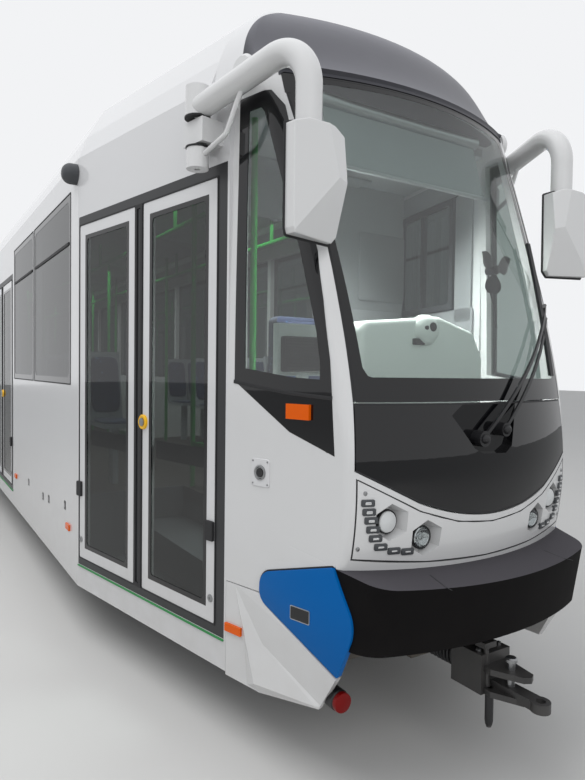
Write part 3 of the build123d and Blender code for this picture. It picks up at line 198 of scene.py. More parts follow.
def swept(path: Array, section: Array, closed: bool = False, up: Array | None = None) -> Surface:
    """Carries a section along a path.

    At each point the section's first axis is up crossed with the tangent and its second
    is the tangent crossed with the first.

    Args:
        path: Points by 3.
        section: Outline by 2.
        closed: Whether the path joins its start.
        up: One direction for all points, or one for each.

    Returns:
        The closed surface.
    """
    tangent = np.roll(path, -1, 0) - np.roll(path, 1, 0) if closed else np.gradient(path, axis=0)
    tangent /= np.linalg.norm(tangent, axis=1, keepdims=True)
    ups = np.broadcast_to(Z_AXIS if up is None else up, path.shape)
    first = np.cross(ups, tangent)
    first /= np.linalg.norm(first, axis=1, keepdims=True) + 1e-12
    second = np.cross(tangent, first)
    rings = (path[:, None] + section[None, :, :1] * first[:, None] + section[None, :, 1:] * second[:, None])
    return facing_out(ring_solid(rings, closed))


def run_lengths(line: Array) -> Array:
    """Distance of each point of a line from its start, along the line."""
    return np.concatenate([[0], np.cumsum(np.linalg.norm(np.diff(line, axis=0), axis=1))])


def points_at(line: Array, distances: Array) -> Array:
    """Points of a line at distances from its start."""
    length = run_lengths(line)
    return np.stack([np.interp(distances, length, line[:, k]) for k in range(line.shape[1])], -1)


def between(first: Array, last: Array, rows: int) -> Array:
    """Rows of points from one line to another, at equal shares of the way."""
    share = np.linspace(0, 1, rows)[:, None, None]
    return first[None] * (1 - share) + last[None] * share


def resampled(points: Array, step: float, closed: bool = False) -> Array:
    """Points every step or so along straight runs between the given points."""
    ends = np.concatenate([points, points[:1]]) if closed else points
    length = run_lengths(ends)
    count = max(2, int(length[-1] / step) + 1)
    at = np.union1d(np.linspace(0, length[-1], count), length)
    return points_at(ends, at[:-1] if closed else at)


def bend(t: Array, a: Array, b: Array, c: Array) -> Array:
    """Points of the quadratic curve (1-t)^2 A + 2t(1-t) B + t^2 C."""
    return (1 - t) ** 2 * a + 2 * t * (1 - t) * b + t ** 2 * c


def smoothed(points: Array, count: int) -> Array:
    """Points along a chain of quadratic bends, one at each inner corner.

    Each bend runs between the middles of two runs, and the two end runs stay straight.
    """
    middles = (points[1:] + points[:-1]) / 2
    t = np.linspace(0, 1, max(4, count // len(points)), endpoint=False)[:, None]
    bends = [bend(t, *corner) for corner in zip(middles[:-1], points[1:-1], middles[1:])]
    return np.concatenate([points[:1], *bends, middles[-1:], points[-1:]])


def spread(points: Array, count: int) -> Array:
    """Evenly spaced points round a closed outline, from its first corner."""
    ends = np.concatenate([points, points[:1]])
    return points_at(ends, np.linspace(0, run_lengths(ends)[-1], count, endpoint=False))


def paired(outer: Array, inner: Array, steps: int = 12) -> tuple[Array, Array]:
    """Points along two outlines with as many corners, corner by corner at equal shares."""
    t = np.linspace(0, 1, steps, endpoint=False)[None, :, None]

    def along(line: Array) -> Array:
        """Points between each corner and the next."""
        return (line[:-1, None] * (1 - t) + line[1:, None] * t).reshape(-1, line.shape[1])

    return (np.concatenate([along(outer), outer[-1:]]), np.concatenate([along(inner), inner[-1:]]))


def rounded_corners(corners: Array, radii: Array, steps: int = 10) -> Array:
    """Closed outline by 2 with an arc at each corner.

    An arc touches both runs at radius * tan(turn / 2) from the corner, and its points are
    the first of these turned about the centre by equal shares of the turn.
    """
    before = corners - np.roll(corners, 1, 0)
    after = np.roll(corners, -1, 0) - corners
    before /= np.linalg.norm(before, axis=1, keepdims=True)
    after /= np.linalg.norm(after, axis=1, keepdims=True)
    turn = np.arctan2(before[:, 0] * after[:, 1] - before[:, 1] * after[:, 0], (before * after).sum(1))
    start = corners - before * (radii * np.tan(np.abs(turn) / 2))[:, None]
    centre = start + np.stack([-before[:, 1], before[:, 0]], -1) * (np.sign(turn) * radii)[:, None]
    angle = np.linspace(0, 1, steps)[None] * turn[:, None]
    x, y = ((start - centre)[:, k, None] for k in (0, 1))
    arm = np.stack([x * np.cos(angle) - y * np.sin(angle), x * np.sin(angle) + y * np.cos(angle)], -1)
    return (centre[:, None] + arm).reshape(-1, 2)


def inset(outline: Array, distance: float) -> Array:
    """Closed outline by 2 moved inwards, each point along the mean normal of its two runs."""
    ahead = np.roll(outline, -1, 0) - outline
    ahead /= np.linalg.norm(ahead, axis=1, keepdims=True)
    mean = ahead + np.roll(ahead, 1, 0)
    normal = np.stack([-mean[:, 1], mean[:, 0]], -1)
    normal /= np.linalg.norm(normal, axis=1, keepdims=True)
    following = np.roll(outline, -1, 0)
    area = (outline[:, 0] * following[:, 1] - outline[:, 1] * following[:, 0]).sum()
    return outline + normal * np.sign(area) * distance


@dataclass(frozen=True)
class Wall:
    """Upright plane of the tram's side, seen from outside.

    Args:
        x: Distance along the tram of the plane's origin.
        y: Half width there.
        angle: Plan angle that its run turns inwards, in degrees.
        side: -1 on the right, 1 on the left.
        end: 1 towards the cab, -1 towards the rear.
    """

    x: float
    y: float
    angle: float
    side: int = -1
    end: int = 1

    @property
    def axes(self) -> Array:
        """Rows: along the wall, up and outwards."""
        a = math.radians(self.angle)
        return np.array([[self.end * math.cos(a), -self.side * math.sin(a), 0], [0, 0, 1],
                         [self.end * math.sin(a), self.side * math.cos(a), 0]])

    @property
    def origin(self) -> Array:
        """Place of the plane's zero, at the rail head's height."""
        return np.array([self.end * self.x, self.side * self.y, FLANGE])

    def at(self, along: float | Array, height: float | Array, out: float | Array = 0.0) -> Array:
        """Points at distances along the wall, heights above the rail and distances out."""
        a, h, o = np.broadcast_arrays(along, height, out)
        return self.origin + np.stack([a, h, o], -1) @ self.axes

    def placed(self, shape: Surface, along: float, height: float, out: float = 0.0) -> Surface:
        """A shape made flat on XY, set upright on the wall with its Z outwards."""
        return shape.moved(self.axes, self.at(along, height, out))


FLAT_RIGHT = Wall(0.0, HALF_WIDTH, 0.0)
FLAT_LEFT = Wall(0.0, HALF_WIDTH, 0.0, side=1)
DOOR_WALL = Wall(CORNER_X, HALF_WIDTH, TAPER)
CAB_WALL = Wall(SEAM_X, SEAM_Y, END_TAPER)


def mirrored(wall: Wall, side: int, end: int) -> Wall:
    """The same wall on another side or end of the tram."""
    return Wall(wall.x, wall.y, wall.angle, side, end)


class Skin:
    """Outer surface of CAD nodes, for setting pieces on their curved faces."""

    def __init__(self, *nodes: str) -> None:
        """Reads the nodes' triangles as one array of triangles by 3 corners by 3."""
        parts = []
        for name in nodes:
            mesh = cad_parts[name].data
            mesh.calc_loop_triangles()
            co = np.empty(len(mesh.vertices) * 3)
            mesh.vertices.foreach_get("co", co)
            tri = np.empty(len(mesh.loop_triangles) * 3, np.int64)
            mesh.loop_triangles.foreach_get("vertices", tri)
            parts.append(co.reshape(-1, 3)[tri].reshape(-1, 3, 3))
        self.tris = np.concatenate(parts)

    def drop(self, points: Array, axes: Array) -> tuple[Array, Array]:
        """Finds the surface under points along one direction.

        A point is in a triangle where its three area coordinates are all positive; its
        depth is their mean of the corners' depths, and the outermost wins.

        Args:
            points: Points by 3.
            axes: Rows of across, up and out; points drop against out.

        Returns:
            Each point's depth along out, NaN beside the surface, and the normals there.
        """
        flat = self.tris @ axes.T
        target = points @ axes.T
        a, b, c = flat[:, 0, :2], flat[:, 1, :2], flat[:, 2, :2]
        area = (b[:, 0] - a[:, 0]) * (c[:, 1] - a[:, 1]) - (b[:, 1] - a[:, 1]) * (c[:, 0] - a[:, 0])
        # Mirrored axes are left-handed, and there the outward faces have negative areas
        hand = np.sign(np.linalg.det(axes))
        keep = area * hand > 1e-12
        flat, area = flat[keep], area[keep]
        a, b, c = flat[:, 0, :2], flat[:, 1, :2], flat[:, 2, :2]
        p = target[:, None, :2]

        def wedge(m: Array, n: Array) -> Array:
            """Share of each triangle's area beyond the edge from m to n."""
            return ((n[:, 0] - m[:, 0]) * (p[..., 1] - m[:, 1])
                    - (n[:, 1] - m[:, 1]) * (p[..., 0] - m[:, 0])) / area

        wc, wa = wedge(a, b), wedge(b, c)
        wb = 1 - wa - wc
        inside = (wa > -1e-4) & (wb > -1e-4) & (wc > -1e-4)
        depth = np.where(inside, wa * flat[:, 0, 2] + wb * flat[:, 1, 2] + wc * flat[:, 2, 2], -1e9)
        best = depth.argmax(1)
        found = depth[np.arange(len(target)), best]
        tri = flat[best]
        normal = np.cross(tri[:, 1] - tri[:, 0], tri[:, 2] - tri[:, 0]) * hand
        normal /= np.linalg.norm(normal, axis=1, keepdims=True)
        return np.where(found > -1e8, found, np.nan), normal @ axes

    def drape(self, points: Array, axes: Array) -> tuple[Array, Array]:
        """Drops points onto the surface; one beside it takes its neighbours' depth.

        Args:
            points: Points by 3.
            axes: Rows of across, up and out.

        Returns:
            The points on the surface and the outward normals there.
        """
        return landed(points, *self.drop(points, axes), axes)


def landed(points: Array, depth: Array, normal: Array, axes: Array) -> tuple[Array, Array]:
    """Moves points to their depths, with gaps filled in line from the found ones."""
    order = np.arange(len(points))
    good = ~np.isnan(depth)
    if not good.any():
        raise ValueError("no point lies over the surface")
    nearest = order[good][np.abs(order[:, None] - order[good][None, :]).argmin(1)]
    depth = np.interp(order, order[good], depth[good])
    return points + (depth - points @ axes[2])[:, None] * axes[2], normal[nearest]


# Rows of across, up and out for each end, and the x past both ends where points start
FRONT_AXES = np.array([[0, 1.0, 0], [0, 0, 1.0], [1.0, 0, 0]])
REAR_AXES = np.array([[0, -1.0, 0], [0, 0, 1.0], [-1.0, 0, 0]])
OUTSIDE_X = 8.0
# How far the back of a thin cover lies under the surface
BACK = 0.002
SEAL_SECTION = np.array([[-0.5, -0.6], [0.5, -0.6], [0.5, 0.4], [0.2, 0.6], [-0.2, 0.6], [-0.5, 0.4]])


def seal(skin: Skin, points: Array, axes: Array, width: float, height: float,
         closed: bool = False, step: float = 0.02) -> Surface:
    """A narrow raised strip that follows a surface along a path.

    Args:
        skin: The surface it lies on.
        points: Corners of the path, by 3.
        axes: Rows of across, up and out for the drape.
        width: Width of the strip.
        height: How far it stands proud.
        closed: Whether the path joins its start.
        step: Spacing of the points along it.

    Returns:
        The strip.
    """
    points = resampled(points, step, closed)
    depth, normal = skin.drop(points, axes)
    # Over an open joint the drop goes too deep: there the middle of both its sides counts
    reach = 0.009
    for axis in axes[:2]:
        (left, left_normal), (right, _) = (skin.drop(points + axis * side, axes)
                                           for side in (-reach, reach))
        middle = (left + right) / 2
        use = (np.abs(left - right) < 0.03) & (np.isnan(depth) | (depth < middle - 0.005))
        depth, normal = np.where(use, middle, depth), np.where(use[:, None], left_normal, normal)
    path, normal = landed(points, depth, normal, axes)
    return swept(path, SEAL_SECTION * np.array([width, height]), closed, up=normal)


def draped_sheet(skin: Skin, outline: Array, axes: Array, lift: float, rings: int = 6,
                 step: float = 0.03) -> Surface:
    """Thin cover inside an outline, laid on a surface.

    Ring k is the outline drawn towards its middle by k shares of the way, and the back is
    2 mm under the surface.

    Args:
        skin: The surface it lies on.
        outline: Corners by 3.
        axes: Rows of across, up and out for the drape.
        lift: How far its face stands off the surface.
        rings: Number of rings.
        step: Spacing of points along the outline.

    Returns:
        The closed shell.
    """
    edge = resampled(outline, step, True)
    middle = edge.mean(0)
    grid = middle + np.linspace(1, 0.02, rings)[:, None, None] * (edge - middle)[None]
    flat, normal = skin.drape(grid.reshape(-1, 3), axes)
    top = (flat + normal * lift).reshape(rings, -1, 3)
    low = (flat - normal * BACK).reshape(rings, -1, 3)
    return facing_out(ring_solid(np.concatenate([low[::-1], top])))


def draped_band(skin: Skin, outer: Array, inner: Array, axes: Array, lift: float, closed: bool = False,
                rows: int = 5, back: float = BACK) -> Surface:
    """Thin cover between two lines of as many points, laid on a surface.

    Row k lies k shares of the way from the outer line to the inner one.

    Args:
        skin: The surface it lies on.
        outer: Points of one line, by 3.
        inner: As many points of the other line.
        axes: Rows of across, up and out for the drape.
        lift: How far its face stands off the surface.
        closed: Whether the lines join their starts.
        rows: Number of rows.
        back: How far its back lies under the surface.

    Returns:
        The closed cover.
    """
    grid = between(outer, inner, rows).transpose(1, 0, 2)
    flat, normal = skin.drape(grid.reshape(-1, 3), axes)
    top = (flat + normal * lift).reshape(grid.shape)
    low = (flat - normal * back).reshape(grid.shape)
    return facing_out(ring_solid(np.concatenate([top, low[:, ::-1]], 1), closed))


def frame_plate(wall: Wall, outer: tuple[float, float, float, float], border: float,
                near: float, far: float, radius: float = 0.03) -> Surface:
    """Flat frame with round corners on a wall, as a printed border or a gasket.

    Args:
        wall: The wall it lies on.
        outer: First and last distance along, lowest and highest height.
        border: Width of the frame.
        near: Distance out of its back.
        far: Distance out of its face.
        radius: Radius of the opening's corners.

    Returns:
        The closed frame.
    """
    x0, x1, z0, z1 = outer
    centre = np.array([(x0 + x1) / 2, (z0 + z1) / 2])
    big = rounded_rect(x1 - x0, z1 - z0, max(radius - border, 0.004)) + centre
    small = rounded_rect(x1 - x0 - 2 * border, z1 - z0 - 2 * border, radius) + centre
    rings = [wall.at(big[:, 0], big[:, 1], near), wall.at(big[:, 0], big[:, 1], far),
             wall.at(small[:, 0], small[:, 1], far), wall.at(small[:, 0], small[:, 1], near)]
    return facing_out(ring_solid(np.stack(rings), closed=True))


def piece(name: str, surface: Surface, finish: bpy.types.Material, body: str,
          smooth_angle: float = 35.0) -> bpy.types.Object:
    """Makes one Blender object from a surface and sets it on its body.

    Args:
        name: Name of the piece.
        surface: Its points and faces, in the frame.
        finish: Its material.
        body: The CAD body that it rides on.
        smooth_angle: Edges flatter than this are shaded smooth, in degrees.

    Returns:
        The new object.
    """
    mesh = bpy.data.meshes.new(name)
    mesh.from_pydata(surface.verts.tolist(), [], surface.faces)
    mesh.validate()
    obj = bpy.data.objects.new(name, mesh)
    bpy.context.scene.collection.objects.link(obj)
    mesh.materials.append(finish)
    mesh.polygons.foreach_set("use_smooth", np.ones(len(mesh.polygons), bool))
    mesh.set_sharp_from_angle(angle=math.radians(smooth_angle))
    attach(obj, body)
    LOG.info("%s: %d faces on %s", name, len(mesh.polygons), body)
    return obj


# Finishes

ROAD_DUST = "8A8175"


def node(tree: bpy.types.NodeTree, kind: str, settings: dict | None = None,
         inputs: dict | None = None) -> bpy.types.Node:
    """Adds one shader node.

    Args:
        tree: The material's node tree.
        kind: Blender's name of the node type.
        settings: Its own properties by name.
        inputs: Values, or output sockets to link, by socket name or number.

    Returns:
        The node.
    """
    made = tree.nodes.new(kind)
    for key, value in (settings or {}).items():
        setattr(made, key, value)
    for key, value in (inputs or {}).items():
        if isinstance(value, bpy.types.NodeSocket):
            tree.links.new(value, made.inputs[key])
        else:
            made.inputs[key].default_value = value
    return made


def maths(tree: bpy.types.NodeTree, operation: str, *values: object,
          clamp: bool = False) -> bpy.types.NodeSocket:
    """Adds one Math node and returns its result."""
    return node(tree, "ShaderNodeMath", {"operation": operation, "use_clamp": clamp},
                dict(enumerate(values))).outputs[0]


def mixed(tree: bpy.types.NodeTree, share: object, first: object, second: object) -> bpy.types.NodeSocket:
    """Adds one colour mix and returns its result."""
    return node(tree, "ShaderNodeMix", {"data_type": "RGBA"}, {0: share, 6: first, 7: second}).outputs[2]


def noise(tree: bpy.types.NodeTree, place: object, scale: float, detail: float,
          roughness: float = 0.5) -> bpy.types.NodeSocket:
    """Adds one noise texture and returns its grey value."""
    return node(tree, "ShaderNodeTexNoise", None, {"Vector": place, "Scale": scale, "Detail": detail,
                                                   "Roughness": roughness}).outputs["Fac"]


def ramp(tree: bpy.types.NodeTree, value: object, start: float, stop: float,
         kind: str = "LINEAR") -> bpy.types.NodeSocket:
    """Adds a ramp that goes from 0 at start to 1 at stop, and returns its result."""
    return node(tree, "ShaderNodeMapRange", {"interpolation_type": kind},
                {0: value, 1: start, 2: stop, 3: 0.0, 4: 1.0}).outputs[0]


def empty_material(name: str) -> tuple[bpy.types.Material, bpy.types.NodeTree]:
    """Makes a material without nodes, and returns it with its tree."""
    material = bpy.data.materials.new(name)
    material.use_nodes = True
    material.node_tree.nodes.clear()
    return material, material.node_tree


@dataclass(frozen=True)
class Finish:
    """One real finish and how it looks.

    Args:
        name: The material's common name and making.
        colour: sRGB hex of its main colour.
        second: sRGB hex of its drifts and worn places.
        roughness: Typical roughness.
        metallic: 0 or 1.
        ior: Index of refraction.
        coat: Weight of a clear coat.
        grain_mm: Size of its finest pattern that shows.
        relief_mm: Height of that pattern.
        drift_mm: Size of its slow changes of colour.
        drift: How far those go towards the second colour.
        dust: How much road dust gathers below the floor line.
        shine: Specular level, 0.5 for a plain dielectric.
        top_highlight: sRGB hex of a painted highlight mixed onto faces that look up, or empty.
    """

    name: str
    colour: str
    second: str
    roughness: float
    metallic: float = 0.0
    ior: float = 1.5
    coat: float = 0.0
    grain_mm: float = 3.0
    relief_mm: float = 0.0
    drift_mm: float = 600.0
    drift: float = 0.3
    dust: float = 0.0
    shine: float = 0.5
    top_highlight: str = ""

    def build(self) -> bpy.types.Material:
        """Makes the material, its patterns on Object coordinates in real sizes."""
        material, tree = empty_material(self.name)
        place = node(tree, "ShaderNodeTexCoord").outputs["Object"]
        drift = noise(tree, place, 1000 / self.drift_mm, 4.0, 0.55)
        share = maths(tree, "MULTIPLY", drift, self.drift, clamp=True)
        colour = mixed(tree, share, linear(self.colour), linear(self.second))
        rough = maths(tree, "MULTIPLY_ADD", drift, 0.16 * self.roughness + 0.02,
                      self.roughness - 0.03, clamp=True)
        if self.dust > 0:
            height = node(tree, "ShaderNodeSeparateXYZ", None, {0: place}).outputs[2]
            low = ramp(tree, height, 1.1, 0.25)
            spots = noise(tree, place, 9.0, 6.0)
            dirt = maths(tree, "MULTIPLY", maths(tree, "MULTIPLY", low, spots), self.dust, clamp=True)
            colour = mixed(tree, dirt, colour, linear(ROAD_DUST))
            rough = maths(tree, "MULTIPLY_ADD", dirt, 0.4, rough, clamp=True)
        # Painted highlight: faces that look up are mixed towards a lighter colour
        if self.top_highlight:
            up = node(tree, "ShaderNodeSeparateXYZ", None,
                      {0: node(tree, "ShaderNodeNewGeometry").outputs["Normal"]}).outputs[2]
            facing = ramp(tree, up, 0.25, 0.80, "SMOOTHSTEP")
            colour = mixed(tree, facing, colour, linear(self.top_highlight))
        shader = node(tree, "ShaderNodeBsdfPrincipled", None,
                      {"Base Color": colour, "Roughness": rough, "Metallic": self.metallic, "IOR": self.ior,
                       "Coat Weight": self.coat, "Coat Roughness": 0.05, "Specular IOR Level": self.shine})
        if self.relief_mm > 0:
            grain = noise(tree, place, 1000 / self.grain_mm, 3.0)
            bump = node(tree, "ShaderNodeBump", None,
                        {"Strength": 0.6, "Distance": self.relief_mm / 1000, "Height": grain})
            tree.links.new(bump.outputs[0], shader.inputs["Normal"])
        node(tree, "ShaderNodeOutputMaterial", None, {0: shader.outputs[0]})
        return material


@dataclass(frozen=True)
class Glazing:
    """Toughened tinted glass: partly clear, with a dark body colour and a sharp shine.

    Args:
        name: The material's name.
        tint: sRGB hex of what it lets through.
        body: sRGB hex of its own dark colour.
        density: How much of the surface is its own colour, seen straight on.
        ior: Index of the shiny part, raised because only a share of it shows.
    """

    name: str
    tint: str
    body: str
    density: float
    ior: float = 2.2

    def build(self) -> bpy.types.Material:
        """Makes the material: clear film mixed with dark gloss by angle.

        The gloss grows with the fifth power of (1 - cosine), and only the face that a ray
        meets first carries it, so a pane counts once.
        """
        material, tree = empty_material(self.name)
        clear = node(tree, "ShaderNodeBsdfTransparent", None, {"Color": linear(self.tint)})
        solid = node(tree, "ShaderNodeBsdfPrincipled", None,
                     {"Base Color": linear(self.body), "Roughness": 0.03, "IOR": self.ior})
        facing = node(tree, "ShaderNodeLayerWeight", None, {"Blend": 0.5}).outputs["Facing"]
        edge = maths(tree, "POWER", facing, 5.0)
        first = maths(tree, "SUBTRACT", 1.0, node(tree, "ShaderNodeNewGeometry").outputs["Backfacing"])
        gloss = maths(tree, "MULTIPLY_ADD", edge, 0.85, self.density)
        share = maths(tree, "MULTIPLY", gloss, first, clamp=True)
        mix = node(tree, "ShaderNodeMixShader", None, {0: share, 1: clear.outputs[0], 2: solid.outputs[0]})
        node(tree, "ShaderNodeOutputMaterial", None, {0: mix.outputs[0]})
        return material


@dataclass(frozen=True)
class Weave:
    """Woven seat plush: two crossed rows of yarn with small flecks of a second colour.

    Args:
        name: The material's name.
        colour: sRGB hex of the ground.
        fleck: sRGB hex of the flecks.
        yarn_mm: Spacing of the yarns, drawn coarser than real so that it shows.
    """

    name: str
    colour: str
    fleck: str
    yarn_mm: float = 4.0

    def build(self) -> bpy.types.Material:
        """Makes the material."""
        material, tree = empty_material(self.name)
        place = node(tree, "ShaderNodeTexCoord").outputs["Object"]
        waves = [node(tree, "ShaderNodeTexWave", {"bands_direction": axis},
                      {"Vector": place, "Scale": 1000 / self.yarn_mm / 6.28}).outputs["Fac"]
                 for axis in ("Y", "Z")]
        height = maths(tree, "MULTIPLY", *waves)
        cells = node(tree, "ShaderNodeTexVoronoi", None, {"Vector": place, "Scale": 22.0}).outputs[0]
        spot = maths(tree, "LESS_THAN", cells, 0.16)
        colour = mixed(tree, spot, linear(self.colour), linear(self.fleck))
        bump = node(tree, "ShaderNodeBump", None, {"Strength": 0.5, "Distance": 0.001, "Height": height})
        shader = node(tree, "ShaderNodeBsdfPrincipled", None,
                      {"Base Color": colour, "Roughness": 0.9, "Sheen Weight": 0.3,
                       "Normal": bump.outputs[0]})
        node(tree, "ShaderNodeOutputMaterial", None, {0: shader.outputs[0]})
        return material


class Look(Enum):
    """The tram's finishes, each with what its making gives the eye."""

    # Two-pack enamel sprayed on filled aluminium: even, glossy, a faint orange peel
    ENAMEL = Finish("white_two_pack_enamel", "CACACB", "C2C2C3", 0.16, coat=0.3,
                    grain_mm=14, relief_mm=0.02, drift_mm=900, drift=0.5, dust=0.35)
    # The same enamel on the moulded end, a touch warmer
    MOULDING = Finish("enamelled_glass_fibre", "CACACA", "C1C1C1", 0.18, coat=0.3,
                      grain_mm=20, relief_mm=0.03, drift_mm=700, drift=0.5, dust=0.25)
    # Textured enamel on the cap: satin and dark, with a painted highlight on its faces that look up
    CAP = Finish("grey_satin_enamel", "3A3A3F", "36363B", 0.42, grain_mm=5, relief_mm=0.03, shine=0.30,
                 top_highlight="707076")
    # Bonded glass painted black behind: mirror smooth
    BLACK_GLASS = Finish("black_backed_glass", "0B0B0D", "101013", 0.04, ior=1.52)
    # Moulded polyurethane: matt black with a pebble grain, and a painted highlight on its faces that look
    # up
    BUMPER = Finish("moulded_polyurethane", "0C0B0C", "121112", 0.7, grain_mm=3.5, relief_mm=0.08,
                    drift_mm=300, drift=0.6, dust=0.03, shine=0.08, top_highlight="4B494D")
    # Enamelled access panel: mid blue, satin gloss
    BLUE = Finish("blue_enamel", "02589C", "014F8C", 0.26, grain_mm=12, relief_mm=0.015, shine=0.12)
    # Extruded EPDM: near black, dull, pale dust in its grain
    RUBBER = Finish("extruded_rubber", "1B1B1D", "29292A", 0.62, grain_mm=2.5, relief_mm=0.05)
    # Powder-coated door frame
    DOOR_FRAME = Finish("black_powder_coat", "202123", "2A2B2D", 0.4, grain_mm=2, relief_mm=0.03)
    # Chassis paint over welded steel, dusty
    CHASSIS = Finish("chassis_paint", "26272A", "4A443C", 0.6, grain_mm=8, relief_mm=0.1, drift=0.7,
                     drift_mm=250, dust=0.8)
    # Cast steel with a thin brown rust
    CASTING = Finish("cast_steel", "3A3836", "5C4636", 0.55, metallic=0.6, grain_mm=5,
                     relief_mm=0.2, drift_mm=120, drift=0.8)
    # Black-painted casting, rubbed bare and greased where it works
    COUPLER = Finish("painted_coupler_casting", "242425", "3E3C3A", 0.42, grain_mm=6, relief_mm=0.25,
                     drift_mm=70, drift=0.9, shine=0.6)
    # Rolled wheel steel with a polished tread
    WHEEL = Finish("rolled_wheel_steel", "6E6B68", "58493C", 0.38, metallic=1.0,
                   grain_mm=6, relief_mm=0.05, drift_mm=160, drift=0.6)
    # Tread polished by the rails
    TREAD = Finish("polished_tread_steel", "A8A6A3", "8E8A85", 0.18, metallic=1.0, grain_mm=3,
                   relief_mm=0.02, drift_mm=90, drift=0.5)
    # Galvanised fastener
    ZINC = Finish("zinc_plated_steel", "9A9B9C", "7E7F80", 0.35, metallic=1.0, grain_mm=2,
                  relief_mm=0.02, drift_mm=30)
    # Anodised aluminium trim
    ALUMINIUM = Finish("anodised_aluminium", "B4B6B8", "A4A6A8", 0.3, metallic=1.0,
                       grain_mm=1.5, relief_mm=0.01)
    # Studded rubber floor sheet
    FLOORING = Finish("rubber_floor_sheet", "5E6062", "54565A", 0.7, grain_mm=4, relief_mm=0.1)
    # Melamine-faced board and vacuum-formed lining inside
    LINING = Finish("vacuum_formed_lining", "8C8E90", "7F8183", 0.5, grain_mm=2, relief_mm=0.03)
    # Painted glass-fibre instrument hood
    HOOD = Finish("painted_hood", "EDF1EE", "E2E6E3", 0.32, grain_mm=2.5, relief_mm=0.03)
    # Injection-moulded ABS shells
    ABS = Finish("moulded_abs", "3C3E41", "46484B", 0.45, grain_mm=1.5, relief_mm=0.04)
    SEAT_SHELL = Finish("moulded_seat_shell", "9A9EA2", "8A8E92", 0.35, grain_mm=2, relief_mm=0.02)
    # Powder-coated grab poles
    POLE = Finish("green_powder_coat", "1E8A34", "1A7A2E", 0.3, grain_mm=2, relief_mm=0.015)
    # Dyed polycarbonate lenses
    AMBER = Finish("amber_polycarbonate", "D85A04", "BE4802", 0.22, shine=0.15, ior=1.58, grain_mm=6,
                   relief_mm=0.4)
    RED = Finish("red_polycarbonate", "700606", "600404", 0.30, shine=0.15, ior=1.58, grain_mm=6,
                 relief_mm=0.4)
    YELLOW = Finish("yellow_moulded_ring", "E8B20C", "D6A00A", 0.35, grain_mm=2, relief_mm=0.02)
    GREEN_TAPE = Finish("green_edge_paint", "1F7A3C", "1B6C35", 0.5, grain_mm=2, relief_mm=0.02)
    # Grit-coated grey roof paint
    ROOF = Finish("roof_walkway_paint", "A6A8A9", "96989A", 0.75, grain_mm=3, relief_mm=0.25, drift=0.6)
    # Glazed porcelain
    PORCELAIN = Finish("glazed_porcelain", "6A3B2A", "5C3224", 0.12, coat=0.6, grain_mm=8, relief_mm=0.02)
    COLLECTOR = Finish("red_oxide_paint", "7A2B22", "6A241C", 0.45, grain_mm=4, relief_mm=0.04)
    CARBON = Finish("carbon_strip", "1C1C1E", "2C2C2E", 0.5, grain_mm=3, relief_mm=0.05)
    # Vacuum-metallised reflectors and silvered glass
    REFLECTOR = Finish("metallised_reflector", "D8D9DA", "C8C9CA", 0.06, metallic=1.0)
    SCREEN = Glazing("laminated_windscreen", "EDF2F0", "202426", 0.21, 4.6)
    WINDOW = Glazing("tinted_toughened_glass", "8C9292", "1A1E20", 0.34, 4.4)
    DOOR_PANE = Glazing("door_toughened_glass", "B4BAB8", "141617", 0.26, 2.8)
    CAB_PANE = Glazing("cab_side_glass", "D4DAD8", "1C2021", 0.24, 4.2)
    LENS = Glazing("clear_polycarbonate", "EDEFEF", "9FA2A3", 0.10)
    # Frosted acrylic diffuser
    FROSTED = Finish("frosted_acrylic", "C6C8C8", "BCBEBE", 0.35, ior=1.49, grain_mm=2, relief_mm=0.03)
    # Glass-filled nylon, nearly black
    BLACK_PLASTIC = Finish("black_nylon", "161618", "1E1E20", 0.38, grain_mm=1.5, relief_mm=0.03)
    # Coated blind fabric
    BLIND = Finish("coated_blind_cloth", "8E9496", "84898B", 0.8, grain_mm=1.2, relief_mm=0.05)
    PLUSH = Weave("woven_seat_plush", "2A3350", "5F7FB0")


class Finishes:
    """Builds each finish once and hands it out."""

    def __init__(self) -> None:
        """Starts with nothing built."""
        self.made: dict[Look, bpy.types.Material] = {}

    def __call__(self, look: Look) -> bpy.types.Material:
        """The material of a finish."""
        if look not in self.made:
            self.made[look] = look.value.build()
        return self.made[look]


